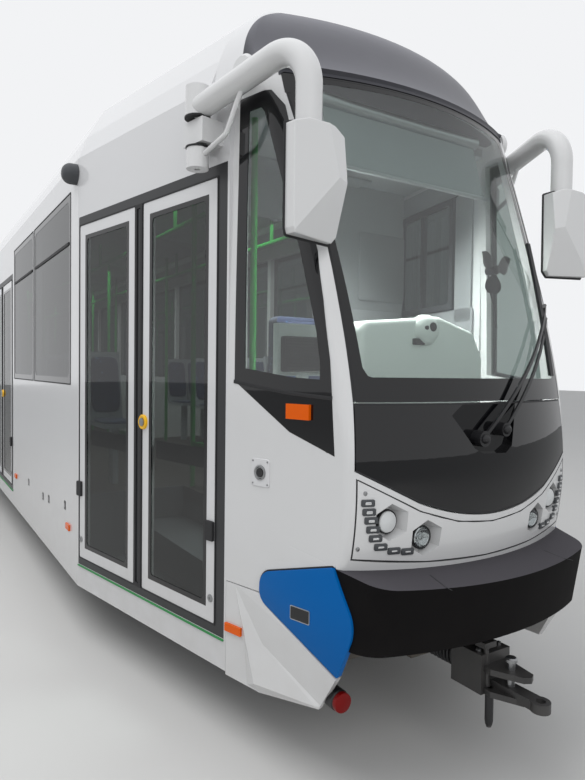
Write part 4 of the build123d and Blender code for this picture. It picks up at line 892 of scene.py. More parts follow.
LOOK_NODES: dict[Look, tuple[str, ...]] = {
    Look.CHASSIS: ("underframe", "bogie_frame_front", "bogie_frame_rear"),
    Look.FLOORING: ("door_steps",),
    Look.ENAMEL: ("wall_right", "wall_left", "front_quarters", "rear_quarters", "door_leaves",
                  "roof_fairings", "roof_crowns"),
    Look.MOULDING: ("cab_mask", "rear_mask", "lamp_panels", "corner_skirts", "corner_covers",
                    "mirror_brackets", "mirror_right", "mirror_left"),
    Look.SCREEN: ("windscreen",),
    Look.WINDOW: ("rear_window", "saloon_windows"),
    Look.BLACK_GLASS: ("apron",),
    Look.REFLECTOR: ("headlamps", "mirror_glass_right", "mirror_glass_left"),
    Look.RED: ("tail_lamps",),
    Look.CAB_PANE: ("cab_side_windows",),
    Look.BLUE: ("corner_panels",),
    Look.BUMPER: ("bumpers",),
    Look.DOOR_FRAME: ("door_portals",),
    Look.DOOR_PANE: ("door_glass",),
    Look.AMBER: ("side_lamps",),
    Look.ABS: ("camera_domes",),
    Look.BLACK_PLASTIC: ("wiper",),
    Look.ROOF: ("roof_deck", "roof_units"),
    Look.CAP: ("end_caps",),
    Look.COLLECTOR: ("pantograph_base", "panto_lower_arm", "panto_upper_arm"),
    Look.HOOD: ("driver_desk",),
    Look.PLUSH: ("driver_seat",),
    Look.LINING: ("cab_bulkhead",),
    Look.SEAT_SHELL: ("passenger_seats",),
    Look.POLE: ("handrails",),
    Look.CARBON: ("panto_head",),
    Look.CASTING: ("motors_front", "motors_rear", "track_brakes_front", "track_brakes_rear"),
    Look.RUBBER: ("springs_front", "springs_rear"),
    Look.WHEEL: ("wheelset_1", "wheelset_2", "wheelset_3", "wheelset_4"),
    Look.COUPLER: ("coupler_front", "coupler_rear"),
}
NODE_LOOKS = {name: look for look, names in LOOK_NODES.items() for name in names}


def dress_nodes(finishes: Finishes) -> None:
    """Gives every CAD node its finish."""
    for name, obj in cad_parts.items():
        for slot in obj.material_slots:
            slot.material = finishes(NODE_LOOKS[name])


# Sub-assemblies


@dataclass
class Assembly:
    """Base of the sub-assemblies.

    Args:
        finishes: The finishes.
    """

    finishes: Finishes

    def add(self, name: str, parts: list[Surface], look: Look, slot: str, body: str = BODY,
            smooth_angle: float = 35.0) -> bpy.types.Object:
        """Joins parts into one piece.

        Args:
            name: Name of the piece.
            parts: Its surfaces.
            look: Its finish.
            slot: The record's material slot. Not used.
            body: The CAD body that it rides on.
            smooth_angle: Edges flatter than this are shaded smooth, in degrees.

        Returns:
            The new object.
        """
        return piece(name, joined(parts), self.finishes(look), body, smooth_angle)


@dataclass
class LampPanels(Assembly):
    """The panel under the screen: module row, reflector bowls, lenses and screws.

    Args:
        modules: Distance from the middle and height of each small module.
        bowls: Distance from the middle, height and floor x of each round lamp.
        screws: Distance from the middle and height of each screw.
        radius: Radius of a bowl.
    """

    modules: Pairs = (
        (0.612, 1.205), (0.606, 1.169), (0.596, 1.134), (0.586, 1.097), (0.572, 1.060),
        (0.547, 1.023), (0.489, 1.003), (0.430, 0.996))
    bowls: Triples = ((0.352, 1.043, 7.274), (0.514, 1.120, 7.244))
    screws: Pairs = ((0.622, 1.243), (0.636, 1.018))
    radius: float = 0.044

    def module_parts(self, skin: Skin, axes: Array, end: int) -> tuple[list[Surface], list[Surface]]:
        """Housings and lenses of the modules, each set square on the panel's surface."""
        housings, lenses = [], []
        box = puck(rounded_rect(0.056, 0.028, 0.006), [(0, -0.004), (0, 0.006), (0.003, 0.008)])
        dots = puck(rounded_rect(0.026, 0.012, 0.004), [(0, 0.006), (0.0005, 0.0095), (0.003, 0.0105)])
        for side in (-1, 1):
            for y, z in self.modules:
                at, normal = skin.drape(np.array([[end * OUTSIDE_X, side * y, above_rail(z)]]), axes)
                out = normal[0]
                across = np.cross(Z_AXIS, out)
                across /= np.linalg.norm(across)
                turn = np.stack([across, np.cross(out, across), out])
                housings.append(box.moved(turn, at[0]))
                lenses.append(dots.moved(turn, at[0]))
        return housings, lenses

    def bowl(self) -> Surface:
        """Chrome rim, reflector dish and bulb of one lamp, its Z towards the front."""
        r = self.radius
        return lathe([(r, 0.0), (r, 0.010), (r - 0.006, 0.014), (r - 0.009, 0.010), (r * 0.55, 0.003),
                      (0.012, 0.001), (0.010, 0.008), (0.0, 0.010)], 40)

    def build(self) -> None:
        """Builds both ends."""
        skin = Skin("lamp_panels")
        bowl = self.bowl()
        rim = lathe([(0.050, 0.0), (0.050, 0.012), (0.047, 0.016), (0.0445, 0.012), (0.0445, 0.0)], 40)
        dome = lathe([(self.radius, 0.012), (0.042, 0.018), (0.030, 0.024), (0.0, 0.028)], 40)
        head = lathe([(0.009, -0.002), (0.009, 0.002), (0.006, 0.004), (0, 0.004)], 18)
        for word, axes, end in (("front", FRONT_AXES, 1), ("rear", REAR_AXES, -1)):
            housings, lenses = self.module_parts(skin, axes, end)
            self.add(f"lamp_modules_{word}", housings, Look.ABS, "black_gloss")
            self.add(f"lamp_module_lenses_{word}", lenses, Look.REFLECTOR, "lamp_lens")
            bowls, rims, milky, clear, screws = ([] for _ in range(5))
            for side in (-1, 1):
                for k, (y, z, floor) in enumerate(self.bowls):
                    place = np.array([end * (floor + 0.014), side * y, above_rail(z)])
                    bowls.append(bowl.moved(axes, place))
                    rims.append(rim.moved(axes, place))
                    (milky if k else clear).append(dome.moved(axes, place))
                for y, z in self.screws:
                    at, _ = skin.drape(np.array([[end * OUTSIDE_X, side * y, above_rail(z)]]), axes)
                    screws.append(head.moved(axes, at[0]))
            self.add(f"lamp_bowls_{word}", bowls, Look.REFLECTOR, "lamp_lens")
            self.add(f"lamp_rims_{word}", rims, Look.BLACK_PLASTIC, "frame_paint")
            self.add(f"lamp_covers_{word}", clear, Look.LENS, "lamp_lens")
            self.add(f"lamp_diffusers_{word}", milky, Look.FROSTED, "lamp_lens")
            self.add(f"lamp_screws_{word}", screws, Look.ZINC, "lamp_lens")


@dataclass
class DoorTrim(Assembly):
    """Borders, seals, buttons, locks, sills and inner rails of the three double doors.

    Args:
        leaves: First and last distance along of each leaf's pane.
        pane: Lowest and highest height of the panes.
        opening: First and last distance along of each leaf.
        leaf_levels: Lowest and highest height of the leaves.
        button: Distance along and height of the button.
        locks: The same of the locks.
        stops: The same of the rubber stops.
        rail: Height of the rails inside.
        inner: Distance out of the leaves' inner face.
        gap: First and last distance along of the gap between the leaves.
        sill: Distance along and height of the sill's green edge.
        middle: x of the middle door's first edge.
    """

    leaves: Pairs = ((0.105, 0.655), (0.880, 1.420))
    pane: tuple[float, float] = (0.567, 2.565)
    opening: Pairs = ((0.028, 0.728), (0.810, 1.492))
    leaf_levels: tuple[float, float] = (0.495, 2.635)
    button: tuple[float, float] = (0.826, 1.43)
    locks: Pairs = ((0.055, 0.615), (1.455, 0.615))
    stops: Pairs = ((0.040, 0.945), (1.452, 0.945))
    rail: float = 1.280
    inner: float = -0.062
    gap: tuple[float, float] = (0.729, 0.809)
    sill: tuple[float, float] = (0.789, 0.4415)
    middle: float = 0.632

    def build(self) -> None:
        """Builds the trim of all three doors."""
        borders, seals, rings, caps, discs, blocks, sills, rails, grips = ([] for _ in range(9))
        low, high = self.leaf_levels
        ring = lathe([(0.041, 0), (0.041, 0.010), (0.036, 0.014), (0.026, 0.012), (0.0, 0.012)], 36)
        cap = lathe([(0.024, 0.010), (0.023, 0.017), (0.0, 0.019)], 30)
        disc = lathe([(0.019, 0), (0.019, 0.003), (0.017, 0.005), (0.006, 0.005), (0.005, 0.002),
                      (0.0, 0.002)], 24)
        stop = puck(rounded_rect(0.062, 0.095, 0.006), [(0, 0), (0, 0.012), (0.003, 0.015)])
        sill = puck(rounded_rect(1.55, 0.009, 0.003), [(0, 0), (0, 0.006), (0.002, 0.008)])
        grip = puck(rounded_rect(0.16, 0.020, 0.008), [(0, 0), (0, 0.016)])
        for wall in (DOOR_WALL, mirrored(DOOR_WALL, -1, -1), Wall(self.middle, HALF_WIDTH, 0.0)):
            for (x0, x1), (p0, p1) in zip(self.opening, self.leaves):
                borders.append(frame_plate(wall, (p0, p1, *self.pane), 0.026, -0.0035, 0.0006, 0.02))
                edge = (x0 - 0.004, x1 + 0.004, low - 0.004, high + 0.004)
                seals.append(frame_plate(wall, edge, 0.008, -0.01, 0.003, 0.012))
                bar = puck(rounded_rect(p1 - p0 - 0.01, 0.100, 0.008), [(0, 0), (0, 0.018), (0.004, 0.022)])
                rails.append(wall.placed(bar, (p0 + p1) / 2, self.rail, self.inner))
                grips.append(wall.placed(grip, p1 - 0.11, self.rail + 0.062, self.inner))
            seals.append(frame_plate(wall, (*self.gap, low, high), 0.022, -0.02, 0.006, 0.004))
            rings.append(wall.placed(ring, *self.button))
            caps.append(wall.placed(cap, *self.button))
            discs += [wall.placed(disc, *at) for at in self.locks]
            blocks += [wall.placed(stop, *at) for at in self.stops]
            sills.append(wall.placed(sill, *self.sill))
        make = (("door_pane_borders", borders, Look.BLACK_GLASS, "black_gloss"),
                ("door_seals", seals, Look.RUBBER, "rubber"),
                ("door_button_rings", rings, Look.YELLOW, "orange_lens"),
                ("door_button_caps", caps, Look.ZINC, "lamp_lens"),
                ("door_locks", discs, Look.ZINC, "lamp_lens"),
                ("door_stops", blocks, Look.RUBBER, "rubber"),
                ("door_sills", sills, Look.GREEN_TAPE, "green_pole"),
                ("door_inner_rails", rails, Look.BLACK_PLASTIC, "frame_paint"),
                ("door_inner_grips", grips, Look.POLE, "green_pole"))
        for row in make:
            self.add(*row)


@dataclass
class WindowTrim(Assembly):
    """Printed borders, dividing seals and hopper lines of the windows.

    Args:
        levels: Lowest and highest height of the panes.
        right: First and last distance along of the right panes.
        left: The same of the left panes.
        quarter: The same of the left pane on each tapered wall.
        hopper: Height of the line under a tilting pane.
    """

    levels: tuple[float, float] = (1.615, 2.900)
    right: Pairs = (
        (3.440, 4.800), (2.300, 3.380), (-0.790, 0.520), (-2.120, -0.850), (-3.450, -2.180),
        (-4.800, -3.510))
    left: Pairs = (
        (3.440, 4.800), (2.100, 3.380), (0.760, 2.040), (-0.640, 0.700), (-2.040, -0.700),
        (-3.380, -2.100), (-4.800, -3.440))
    quarter: tuple[float, float] = (0.150, 1.350)
    hopper: float = 2.57

    def build(self) -> None:
        """Builds the trim of both sides."""
        borders, seals = [], []
        low, high = self.levels
        panes = [(FLAT_RIGHT, p) for p in self.right] + [(FLAT_LEFT, p) for p in self.left]
        panes += [(mirrored(DOOR_WALL, 1, end), self.quarter) for end in (1, -1)]
        for k, (wall, (x0, x1)) in enumerate(panes):
            borders.append(frame_plate(wall, (x0, x1, low, high), 0.045, -0.0015, 0.0005, 0.05))
            edge = (x0 - 0.006, x1 + 0.006, low - 0.006, high + 0.006)
            seals.append(frame_plate(wall, edge, 0.009, -0.01, 0.0025, 0.012))
            if k % 3 != 2:
                seals.append(wall.placed(puck(rounded_rect(x1 - x0 - 0.09, 0.022, 0.004),
                                              [(0, -0.002), (0, 0.004), (0.002, 0.006)]),
                                         (x0 + x1) / 2, self.hopper))
        self.add("window_borders", borders, Look.BLACK_GLASS, "black_gloss")
        self.add("window_seals", seals, Look.RUBBER, "rubber")


@dataclass
class CabTrim(Assembly):
    """Gaps, seals and black prints of the moulded ends.

    The outlines on the cab's side are distance along and height, and those in the front
    view are distance from the middle and height, for one half.

    Args:
        side_print: Outer line of the print round the side glass.
        side_clear: Its inner line.
        wedge: The black wedge under it.
        bead: The rubber bead between the two.
        belt: Height of the gap under the screen.
        screen: Edge of the apron.
        upper: Edge of the screen.
        cap_skirt: Outer line of the cover that brings the grey cap down.
        under_skirt: Its inner line.
        head: Outer line of the black band over the screen.
        under_head: Its inner line.
        clear: Inner line of the print round the screen.
        bed: Gap round the lamp panel.
    """

    side_print: Pairs = (
        (0.049, 1.672), (0.046, 2.600), (0.044, 2.958), (0.222, 2.958), (0.279, 2.885), (0.328, 2.746),
        (0.510, 2.216), (0.561, 2.010), (0.584, 1.888), (0.607, 1.768), (0.620, 1.622), (0.393, 1.632))
    side_clear: Pairs = (
        (0.116, 1.732), (0.104, 2.600), (0.104, 2.890), (0.180, 2.890), (0.204, 2.862), (0.246, 2.746),
        (0.436, 2.222), (0.500, 2.004), (0.533, 1.888), (0.556, 1.764), (0.558, 1.688), (0.393, 1.696))
    wedge: Pairs = (
        (0.049, 1.672), (0.393, 1.463), (0.638, 1.383), (0.629, 1.500), (0.620, 1.622), (0.393, 1.632))
    bead: Pairs = ((0.044, 1.671), (0.200, 1.650), (0.393, 1.628), (0.622, 1.614))
    belt: float = 1.593
    screen: Pairs = ((0.652, 1.600), (0.660, 1.332), (0.397, 1.198), (0.20, 1.141), (0.0, 1.122))
    upper: Pairs = (
        (0.652, 1.600), (0.655, 1.85), (0.662, 2.15), (0.672, 2.40), (0.690, 2.70), (0.722, 3.000),
        (0.700, 3.046), (0.0, 3.046))
    cap_skirt: Pairs = ((0.738, 3.040), (0.736, 3.0825), (0.0, 3.0825))
    under_skirt: Pairs = ((0.733, 3.038), (0.718, 3.052), (0.0, 3.052))
    head: Pairs = ((0.726, 2.950), (0.728, 3.054), (0.0, 3.054))
    under_head: Pairs = ((0.700, 2.950), (0.690, 3.042), (0.0, 3.042))
    clear: Pairs = (
        (0.0, 1.700), (0.585, 1.700), (0.606, 1.74), (0.622, 2.05), (0.640, 2.35), (0.668, 2.80),
        (0.676, 2.985), (0.640, 3.012), (0.0, 3.020))
    bed: Pairs = (
        (0.0, 0.930), (0.33, 0.941), (0.655, 0.975), (0.655, 1.298), (0.390, 1.160), (0.20, 1.103),
        (0.0, 1.084))

    def screen_border(self) -> Surface:
        """Black print round the screen: wide at the sides and the foot, thin at the top."""
        outer = self.halves(((0.0, 1.603),) + tuple((y - 0.004, z) for y, z in self.upper[:-2])
                            + ((0.697, 3.041), (0.0, 3.041)))
        edges = (spread(line, 260) for line in (outer, self.halves(self.clear)))
        return draped_band(Skin("windscreen"), *edges, FRONT_AXES, 0.0007, True, 6, 0.0015)

    def on_wall(self, points: Pairs, wall: Wall) -> Array:
        """Points of an outline on a wall, as an array by 3."""
        p = np.array(points)
        return wall.at(p[:, 0], p[:, 1], 0.05)

    def halves(self, points: Pairs, x: float = OUTSIDE_X) -> Array:
        """Front-view line from its left half, taken over the middle line."""
        p = np.array(points)
        full = np.concatenate([p, (p * [-1, 1])[::-1]])
        keep = np.concatenate([[True], np.linalg.norm(np.diff(full, axis=0), axis=1) > 1e-6])
        full = full[keep]
        return np.column_stack([np.full(len(full), x), full[:, 0], above_rail(full[:, 1])])

    def build(self) -> None:
        """Builds the trim of the front end and the matching parts of the rear."""
        front = Skin("cab_mask", "windscreen", "apron", "lamp_panels")
        y = np.linspace(-0.640, 0.640, 40)
        belt = np.column_stack([np.full(40, OUTSIDE_X), y, np.full(40, above_rail(self.belt))])
        strips = [seal(front, self.halves(self.upper), FRONT_AXES, 0.011, 0.002),
                  seal(front, self.halves(self.screen)[1:-1], FRONT_AXES, 0.007, 0.0015),
                  seal(front, belt, FRONT_AXES, 0.007, 0.0015),
                  seal(front, self.halves(self.bed), FRONT_AXES, 0.005, 0.001, closed=True)]
        self.add("front_end_gaps", strips, Look.RUBBER, "rubber")
        self.add("screen_border", [self.screen_border()], Look.BLACK_GLASS, "black_gloss")
        over = Skin("cab_mask", "windscreen")
        for name, lines, look, slot, lift in (
                ("screen_head", (self.head, self.under_head), Look.BLACK_GLASS, "black_gloss", 0.0015),
                ("cap_skirt", (self.cap_skirt, self.under_skirt), Look.CAP, "roof_grey", 0.005)):
            edges = paired(*(self.halves(line) for line in lines), 24)
            self.add(name, [draped_band(over, *edges, FRONT_AXES, lift)], look, slot)
        rear = Skin("rear_mask", "lamp_panels")
        gap = seal(rear, self.halves(self.bed, -OUTSIDE_X), REAR_AXES, 0.005, 0.001, closed=True)
        self.add("rear_end_gaps", [gap], Look.RUBBER, "rubber")
        borders, wedges, seals = [], [], []
        for end, mask, quarters in ((1, "cab_mask", "front_quarters"), (-1, "rear_mask", "rear_quarters")):
            skin = Skin("cab_side_windows", mask, quarters)
            for side in (-1, 1):
                wall = mirrored(CAB_WALL, side, end)
                axes = wall.axes
                lines = [self.on_wall(points + points[:1], wall)
                         for points in (self.side_print, self.side_clear)]
                edge, hole = (line[:-1] for line in paired(*lines, 24))
                borders.append(draped_band(skin, edge, hole, axes, 0.003, True, 9))
                wedges.append(draped_sheet(skin, self.on_wall(self.wedge, wall), axes, 0.0012, 5))
                seals.append(seal(skin, self.on_wall(self.bead, wall), axes, 0.017, 0.007))
        self.add("cab_pane_borders", borders, Look.BLACK_GLASS, "black_gloss")
        self.add("cab_wedges", wedges, Look.BLACK_GLASS, "black_gloss")
        self.add("cab_pane_seals", seals, Look.RUBBER, "rubber")


@dataclass
class CabInterior(Assembly):
    """What shows through the screen: blind, display back, fan, pod and the side window.

    Args:
        blind: x of its bar, its first and last y, and heights of bar and roller.
        window: First and last distance along, lowest and highest height of the side window.
        mullion: Distance along of its dividing bar.
        fan: x, y and height of the fan's middle.
        display: y and height of the display's middle, its width and its height.
        display_x: x of the display's back.
        pod_x: x of the sensor pod.
        partition_x: x of the partition's front face.
        covers: y and height of each cover's middle there, its width and its height.
    """

    blind: tuple[float, float, float, float, float] = (6.900, -0.560, 0.470, 2.640, 2.960)
    window: tuple[float, float, float, float] = (0.660, 1.330, 2.135, 2.850)
    mullion: float = 0.965
    fan: tuple[float, float, float] = (6.93, 0.50, 2.27)
    display: tuple[float, float, float, float] = (-0.629, 1.797, 0.222, 0.160)
    display_x: float = 6.800
    pod_x: float = 6.985
    partition_x: float = 5.680
    covers: tuple[tuple[float, float, float, float], ...] = (
        (0.775, 2.47, 0.42, 0.48), (0.60, 1.90, 0.70, 0.52), (0.60, 1.25, 0.70, 0.60))

    def side_window(self) -> None:
        """Lining and dark two-pane window frame on the cab's left wall."""
        wall = mirrored(DOOR_WALL, 1, 1)
        x0, x1, z0, z1 = self.window
        frame_bars = [frame_plate(wall, self.window, 0.038, -0.085, -0.055, 0.03),
                      wall.placed(puck(rounded_rect(0.034, z1 - z0 - 0.05, 0.006), [(0, 0), (0, 0.03)]),
                                  self.mullion, (z0 + z1) / 2, -0.085)]
        panels = [((x0 + x1) / 2 - 0.10, 1.83, 1.28, 0.60), (0.33, 2.50, 0.60, 0.74),
                  (1.43, 2.45, 0.17, 0.80), ((x0 + x1) / 2, 2.925, 0.70, 0.13)]
        edge = [(0, 0), (0, 0.010), (0.004, 0.014)]
        linings = [wall.placed(puck(rounded_rect(w, h, 0.02), edge), s, z, -0.075) for s, z, w, h in panels]
        self.add("cab_window_frame", frame_bars, Look.ABS, "frame_paint")
        self.add("cab_side_lining", linings, Look.LINING, "interior_grey")

    def sun_blind(self) -> None:
        """Roller, sheet and weighted bar behind the screen, hung from the ceiling."""
        x, y0, y1, low, high = self.blind
        bar = swept(np.array([[x, y0, above_rail(low)], [x, y1, above_rail(low)]]), circle(0.011, 14))
        roller = swept(np.array([[x - 0.10, y0, above_rail(high)], [x - 0.10, y1, above_rail(high)]]),
                       circle(0.032, 20))
        self.add("blind_bar", [bar, roller], Look.ALUMINIUM, "collector")
        u, v = np.meshgrid(np.linspace(0, 1, 25), np.linspace(0, 1, 12))
        ripple = 0.003 * np.sin(u * 19) * np.sin(v * np.pi)
        front = np.stack([x - 0.10 * v ** 0.8 + ripple, y0 + 0.02 + (y1 - y0 - 0.04) * u,
                          above_rail(low + (high - low) * v)], -1)
        back = front - np.array([0.002, 0, 0])
        rows = np.concatenate([np.concatenate([f, b[::-1]])[None] for f, b in zip(front, back)])
        cloth = self.add("blind_sheet", [facing_out(ring_solid(rows))], Look.BLIND, "seat_fabric")

    def display_back(self) -> None:
        """Louvred black back of the display, and the desk's sensor pod."""
        y, z, wide, tall = self.display
        plate = puck(rounded_rect(wide, tall, 0.012), [(0, 0), (0, 0.014), (0.006, 0.020)])
        rib = puck(rounded_rect(wide - 0.03, 0.006, 0.002), [(0, 0.018), (0, 0.024), (0.001, 0.025)])
        pod = lathe([(0.075, -0.02), (0.072, 0.008), (0.058, 0.030), (0.035, 0.042), (0.0, 0.046)], 36)
        base = puck(rounded_rect(0.070, 0.030, 0.006), [(0, -0.004), (0, 0.012), (0.004, 0.016)])

        def facing(shape: Surface, x: float, y: float, height: float) -> Surface:
            """A shape turned towards the front and set at x, y and a height."""
            return shape.moved(FRONT_AXES, np.array([x, y, above_rail(height)]))

        parts = [facing(plate, self.display_x, y, z)]
        parts += [facing(rib, self.display_x, y, z + dz) for dz in np.linspace(-0.062, 0.062, 10)]
        self.add("display_back", parts, Look.BLACK_PLASTIC, "frame_paint")
        dark = [facing(base, self.pod_x, -0.095, 1.868)]
        dark += [facing(lathe([(r, 0.03), (r, 0.046), (0.0, 0.050)], 20), self.pod_x, eye_y, eye_z)
                 for eye_y, eye_z, r in ((-0.040, 1.938, 0.022), (-0.078, 1.933, 0.010))]
        self.add("desk_sensor_pod", [facing(pod, self.pod_x, -0.045, 1.925)], Look.HOOD, "desk_white")
        self.add("desk_sensor_parts", dark, Look.BLACK_PLASTIC, "frame_paint")

    def desk_fan(self) -> None:
        """Small three-bladed fan on a bent stalk beside the left pillar."""
        centre = np.array([self.fan[0], self.fan[1], above_rail(self.fan[2])])
        hub = lathe([(0.022, -0.05), (0.026, -0.02), (0.024, 0.012), (0.0, 0.018)], 20).moved(
            FRONT_AXES, centre)
        r, t = np.meshgrid(np.linspace(0.015, 0.125, 9), np.linspace(-1, 1, 9))
        width = 0.62 * np.sqrt(np.clip(np.sin((r - 0.010) / 0.118 * np.pi), 0.02, 1))
        blades = []
        for k in range(3):
            angle = 0.4 + k * 2 * np.pi / 3 + t * width
            face = np.stack([0.012 * t * (r / 0.1), r * np.cos(angle), r * np.sin(angle)], -1)
            rows = np.concatenate([face, (face - [0.0015, 0, 0])[:, ::-1]], 1)
            blades.append(ring_solid(rows).moved(np.eye(3), centre))
        stalk = swept(resampled(centre + np.array([[-0.04, 0, 0], [-0.07, 0.03, -0.05],
                                                   [-0.06, 0.07, -0.18], [-0.05, 0.08, -0.30]]), 0.02),
                      circle(0.006, 10), up=X_AXIS)
        self.add("desk_fan", [hub, stalk] + blades, Look.BLACK_PLASTIC, "frame_paint")

    def bulkhead(self) -> None:
        """Framed covers on the partition behind the driver."""
        covers = []
        for y, z, w, h in self.covers:
            cover = puck(rounded_rect(w, h, 0.015), [(0, -0.001), (0, 0.006), (0.004, 0.009)])
            covers.append(cover.moved(FRONT_AXES, np.array([self.partition_x, y, above_rail(z)])))
        self.add("partition_covers", covers, Look.LINING, "interior_grey")

    def build(self) -> None:
        """Builds all of it."""
        self.side_window()
        self.sun_blind()
        self.display_back()
        self.desk_fan()
        self.bulkhead()


@dataclass
class SeatCushions(Assembly):
    """Thin upholstered pads on the passenger seats and the driver's seat.

    Args:
        rows: x of each row.
        places: y of each seat in a row.
        top: Height of the seats.
        lean: Run and rise of the backs.
        back: x of a back's foot, from its row, and half its length.
        driver_seat: x and height of the driver's seat.
        driver_back: The same of the middle of its back.
    """

    rows: tuple[float, ...] = (4.7, 3.9, 3.1, 2.3, -2.3, -3.1, -3.9, -4.7)
    places: tuple[float, ...] = (-0.88, 0.64, 0.89)
    top: float = 1.34
    lean: tuple[float, float] = (-0.100, 0.510)
    back: tuple[float, float] = (-0.170, 0.27)
    driver_seat: tuple[float, float] = (6.13, 1.43)
    driver_back: tuple[float, float] = (5.90, 1.75)

    def pad(self, length: float, width: float, thick: float, count: int = 14) -> Surface:
        """A crowned pad on XY.

        The outline is a superellipse |x/a|^6 + |y/b|^6 = 1, and at a share r of the way
        out the crown is thick * (1 - r^5), so the sides pull in under the edge.
        """
        t = np.linspace(0, 2 * np.pi, 4 * count, endpoint=False)
        c, s = np.cos(t), np.sin(t)
        reach = (np.abs(c) ** 6 + np.abs(s) ** 6) ** (-1 / 6)
        edge = np.stack([c * reach * length / 2, s * reach * width / 2], -1)
        shares = np.array([0.96, 1.0, 0.985, 0.95, 0.88, 0.75, 0.55, 0.3, 0.04])
        heights = np.array([0.0, 0.25, 0.55, 0.75, 0.88, 0.95, 0.985, 1.0, 1.0]) * thick
        return ring_solid(np.stack([np.column_stack([edge * k, np.full(len(edge), h)])
                                    for k, h in zip(shares, heights)]))

    def build(self) -> None:
        """Lays a pad on each seat and each back."""
        base = self.pad(0.36, 0.215, 0.022)
        back = self.pad(0.42, 0.215, 0.020)
        run, rise = np.array(self.lean) / np.linalg.norm(self.lean)
        along = np.array([[run, 0, rise], [0, 1.0, 0], [rise, 0, -run]])
        foot, half = self.back
        pads = []
        for x in self.rows:
            for y in self.places:
                pads.append(base.raised(x + 0.02, y, self.top))
                middle = np.array([x + foot + run * half, y, above_rail(self.top + rise * half)])
                pads.append(back.moved(along, middle))
        seats = self.add("passenger_pads", pads, Look.PLUSH, "seat_fabric")
        upright = np.array([[0, 0, 1.0], [0, 1.0, 0], [1.0, 0, 0]])
        x, z = self.driver_back
        driver = [self.pad(0.44, 0.46, 0.035).raised(self.driver_seat[0], 0, self.driver_seat[1]),
                  self.pad(0.56, 0.42, 0.035).moved(upright, np.array([x, 0, above_rail(z)]))]
        cushion = self.add("driver_pads", driver, Look.PLUSH, "seat_fabric")


@dataclass
class MirrorTrim(Assembly):
    """Rubber rim behind each mirror housing and collars on its arm.

    Args:
        head: x and half-width y of the housing's middle.
        turn: Its plan angle in degrees.
        outline: Corners of its rim, across and height.
        pivot: x and half-width y of the arm's pivot.
        collars: Foot, top and radius of each collar on the arm.
    """

    head: tuple[float, float] = (7.112, 0.807)
    turn: float = 12.0
    outline: Pairs = (
        (-0.132, 2.262), (-0.125, 2.240), (0.105, 2.235), (0.128, 2.262), (0.132, 2.655),
        (0.066, 2.678), (-0.066, 2.678), (-0.132, 2.655))
    pivot: tuple[float, float] = (6.447, 0.993)
    collars: Triples = ((2.884, 2.892, 0.062), (2.748, 2.756, 0.056))

    def build(self) -> None:
        """Builds both sides."""
        a = math.radians(self.turn)
        for side, word in ((-1, "right"), (1, "left")):
            across = np.array([-math.sin(a), -side * math.cos(a), 0])
            out = np.array([math.cos(a), -side * math.sin(a), 0])
            p = np.array(self.outline)
            centre = np.array([self.head[0], side * self.head[1], FLANGE])
            loop = centre + p[:, :1] * across + p[:, 1:] * Z_AXIS
            middle = loop.mean(0)
            loop = middle + (loop - middle) * 1.010
            rim = swept(resampled(loop, 0.02, True), rounded_rect(0.014, 0.007, 0.003, 3), True, up=out)
            collars = [lathe([(0.020, low), (radius, low), (radius, high), (0.020, high)], 36).raised(
                self.pivot[0], side * self.pivot[1], 0.0) for low, high, radius in self.collars]
            self.add(f"mirror_rim_{word}", [rim] + collars, Look.RUBBER, "rubber", f"mirror_arm_{word}")


@dataclass
class SideFittings(Assembly):
    """Socket plate and blank plate of each cab side, and the marks along the right wall.

    Args:
        socket: Distance along and height of the socket.
        plate: The same of the blank plate.
        marks: Distance from the middle and height of the marks.
    """

    socket: tuple[float, float] = (0.2235, 1.270)
    plate: tuple[float, float] = (0.476, 0.704)
    marks: Pairs = ((3.146, 0.684), (3.824, 0.677), (4.062, 0.696), (4.637, 0.758))

    def build(self) -> None:
        """Builds the fittings of both sides."""
        whites, metals, holes, plates, edges = ([] for _ in range(5))
        base = puck(rounded_rect(0.113, 0.124, 0.012), [(0, -0.002), (0, 0.003), (0.002, 0.005)])
        ring = lathe([(0.034, 0.003), (0.034, 0.009), (0.028, 0.011), (0.024, 0.006), (0.0, 0.006)], 36)
        hole = lathe([(0.021, 0.004), (0.020, 0.009), (0.008, 0.007), (0, 0.007)], 24)
        screw = lathe([(0.005, 0.003), (0.004, 0.007), (0, 0.007)], 12)
        plate = puck(rounded_rect(0.100, 0.052, 0.004), [(0, 0), (0, 0.003)])
        edge = puck(rounded_rect(0.108, 0.060, 0.006), [(0, 0), (0, 0.002)])
        recess = puck(rounded_rect(0.050, 0.062, 0.010), [(0, -0.002), (0, 0.0015)])
        rivet = lathe([(0.016, 0.001), (0.015, 0.004), (0.006, 0.004), (0, 0.002)], 18)
        for side in (-1, 1):
            wall = mirrored(CAB_WALL, side, 1)
            s, z = self.socket
            whites.append(wall.placed(base, s, z))
            metals.append(wall.placed(ring, s, z))
            metals += [wall.placed(screw, s + dx, z + dz)
                       for dx in (-0.045, 0.045) for dz in (-0.050, 0.050)]
            holes.append(wall.placed(hole, s, z))
            plates.append(wall.placed(plate, *self.plate, 0.014))
            edges.append(wall.placed(edge, *self.plate, 0.0135))
        for end in (1, -1):
            for x, z in self.marks:
                holes.append(FLAT_RIGHT.placed(recess, end * x, z))
                metals.append(FLAT_RIGHT.placed(rivet, end * x, z))
        make = (("socket_plates", whites, Look.ENAMEL, "white_paint"),
                ("socket_metal", metals, Look.ZINC, "lamp_lens"),
                ("socket_holes", holes, Look.BLACK_PLASTIC, "frame_paint"),
                ("blank_plates", plates, Look.BLACK_GLASS, "black_gloss"),
                ("blank_plate_edges", edges, Look.ALUMINIUM, "collector"))
        for row in make:
            self.add(*row)


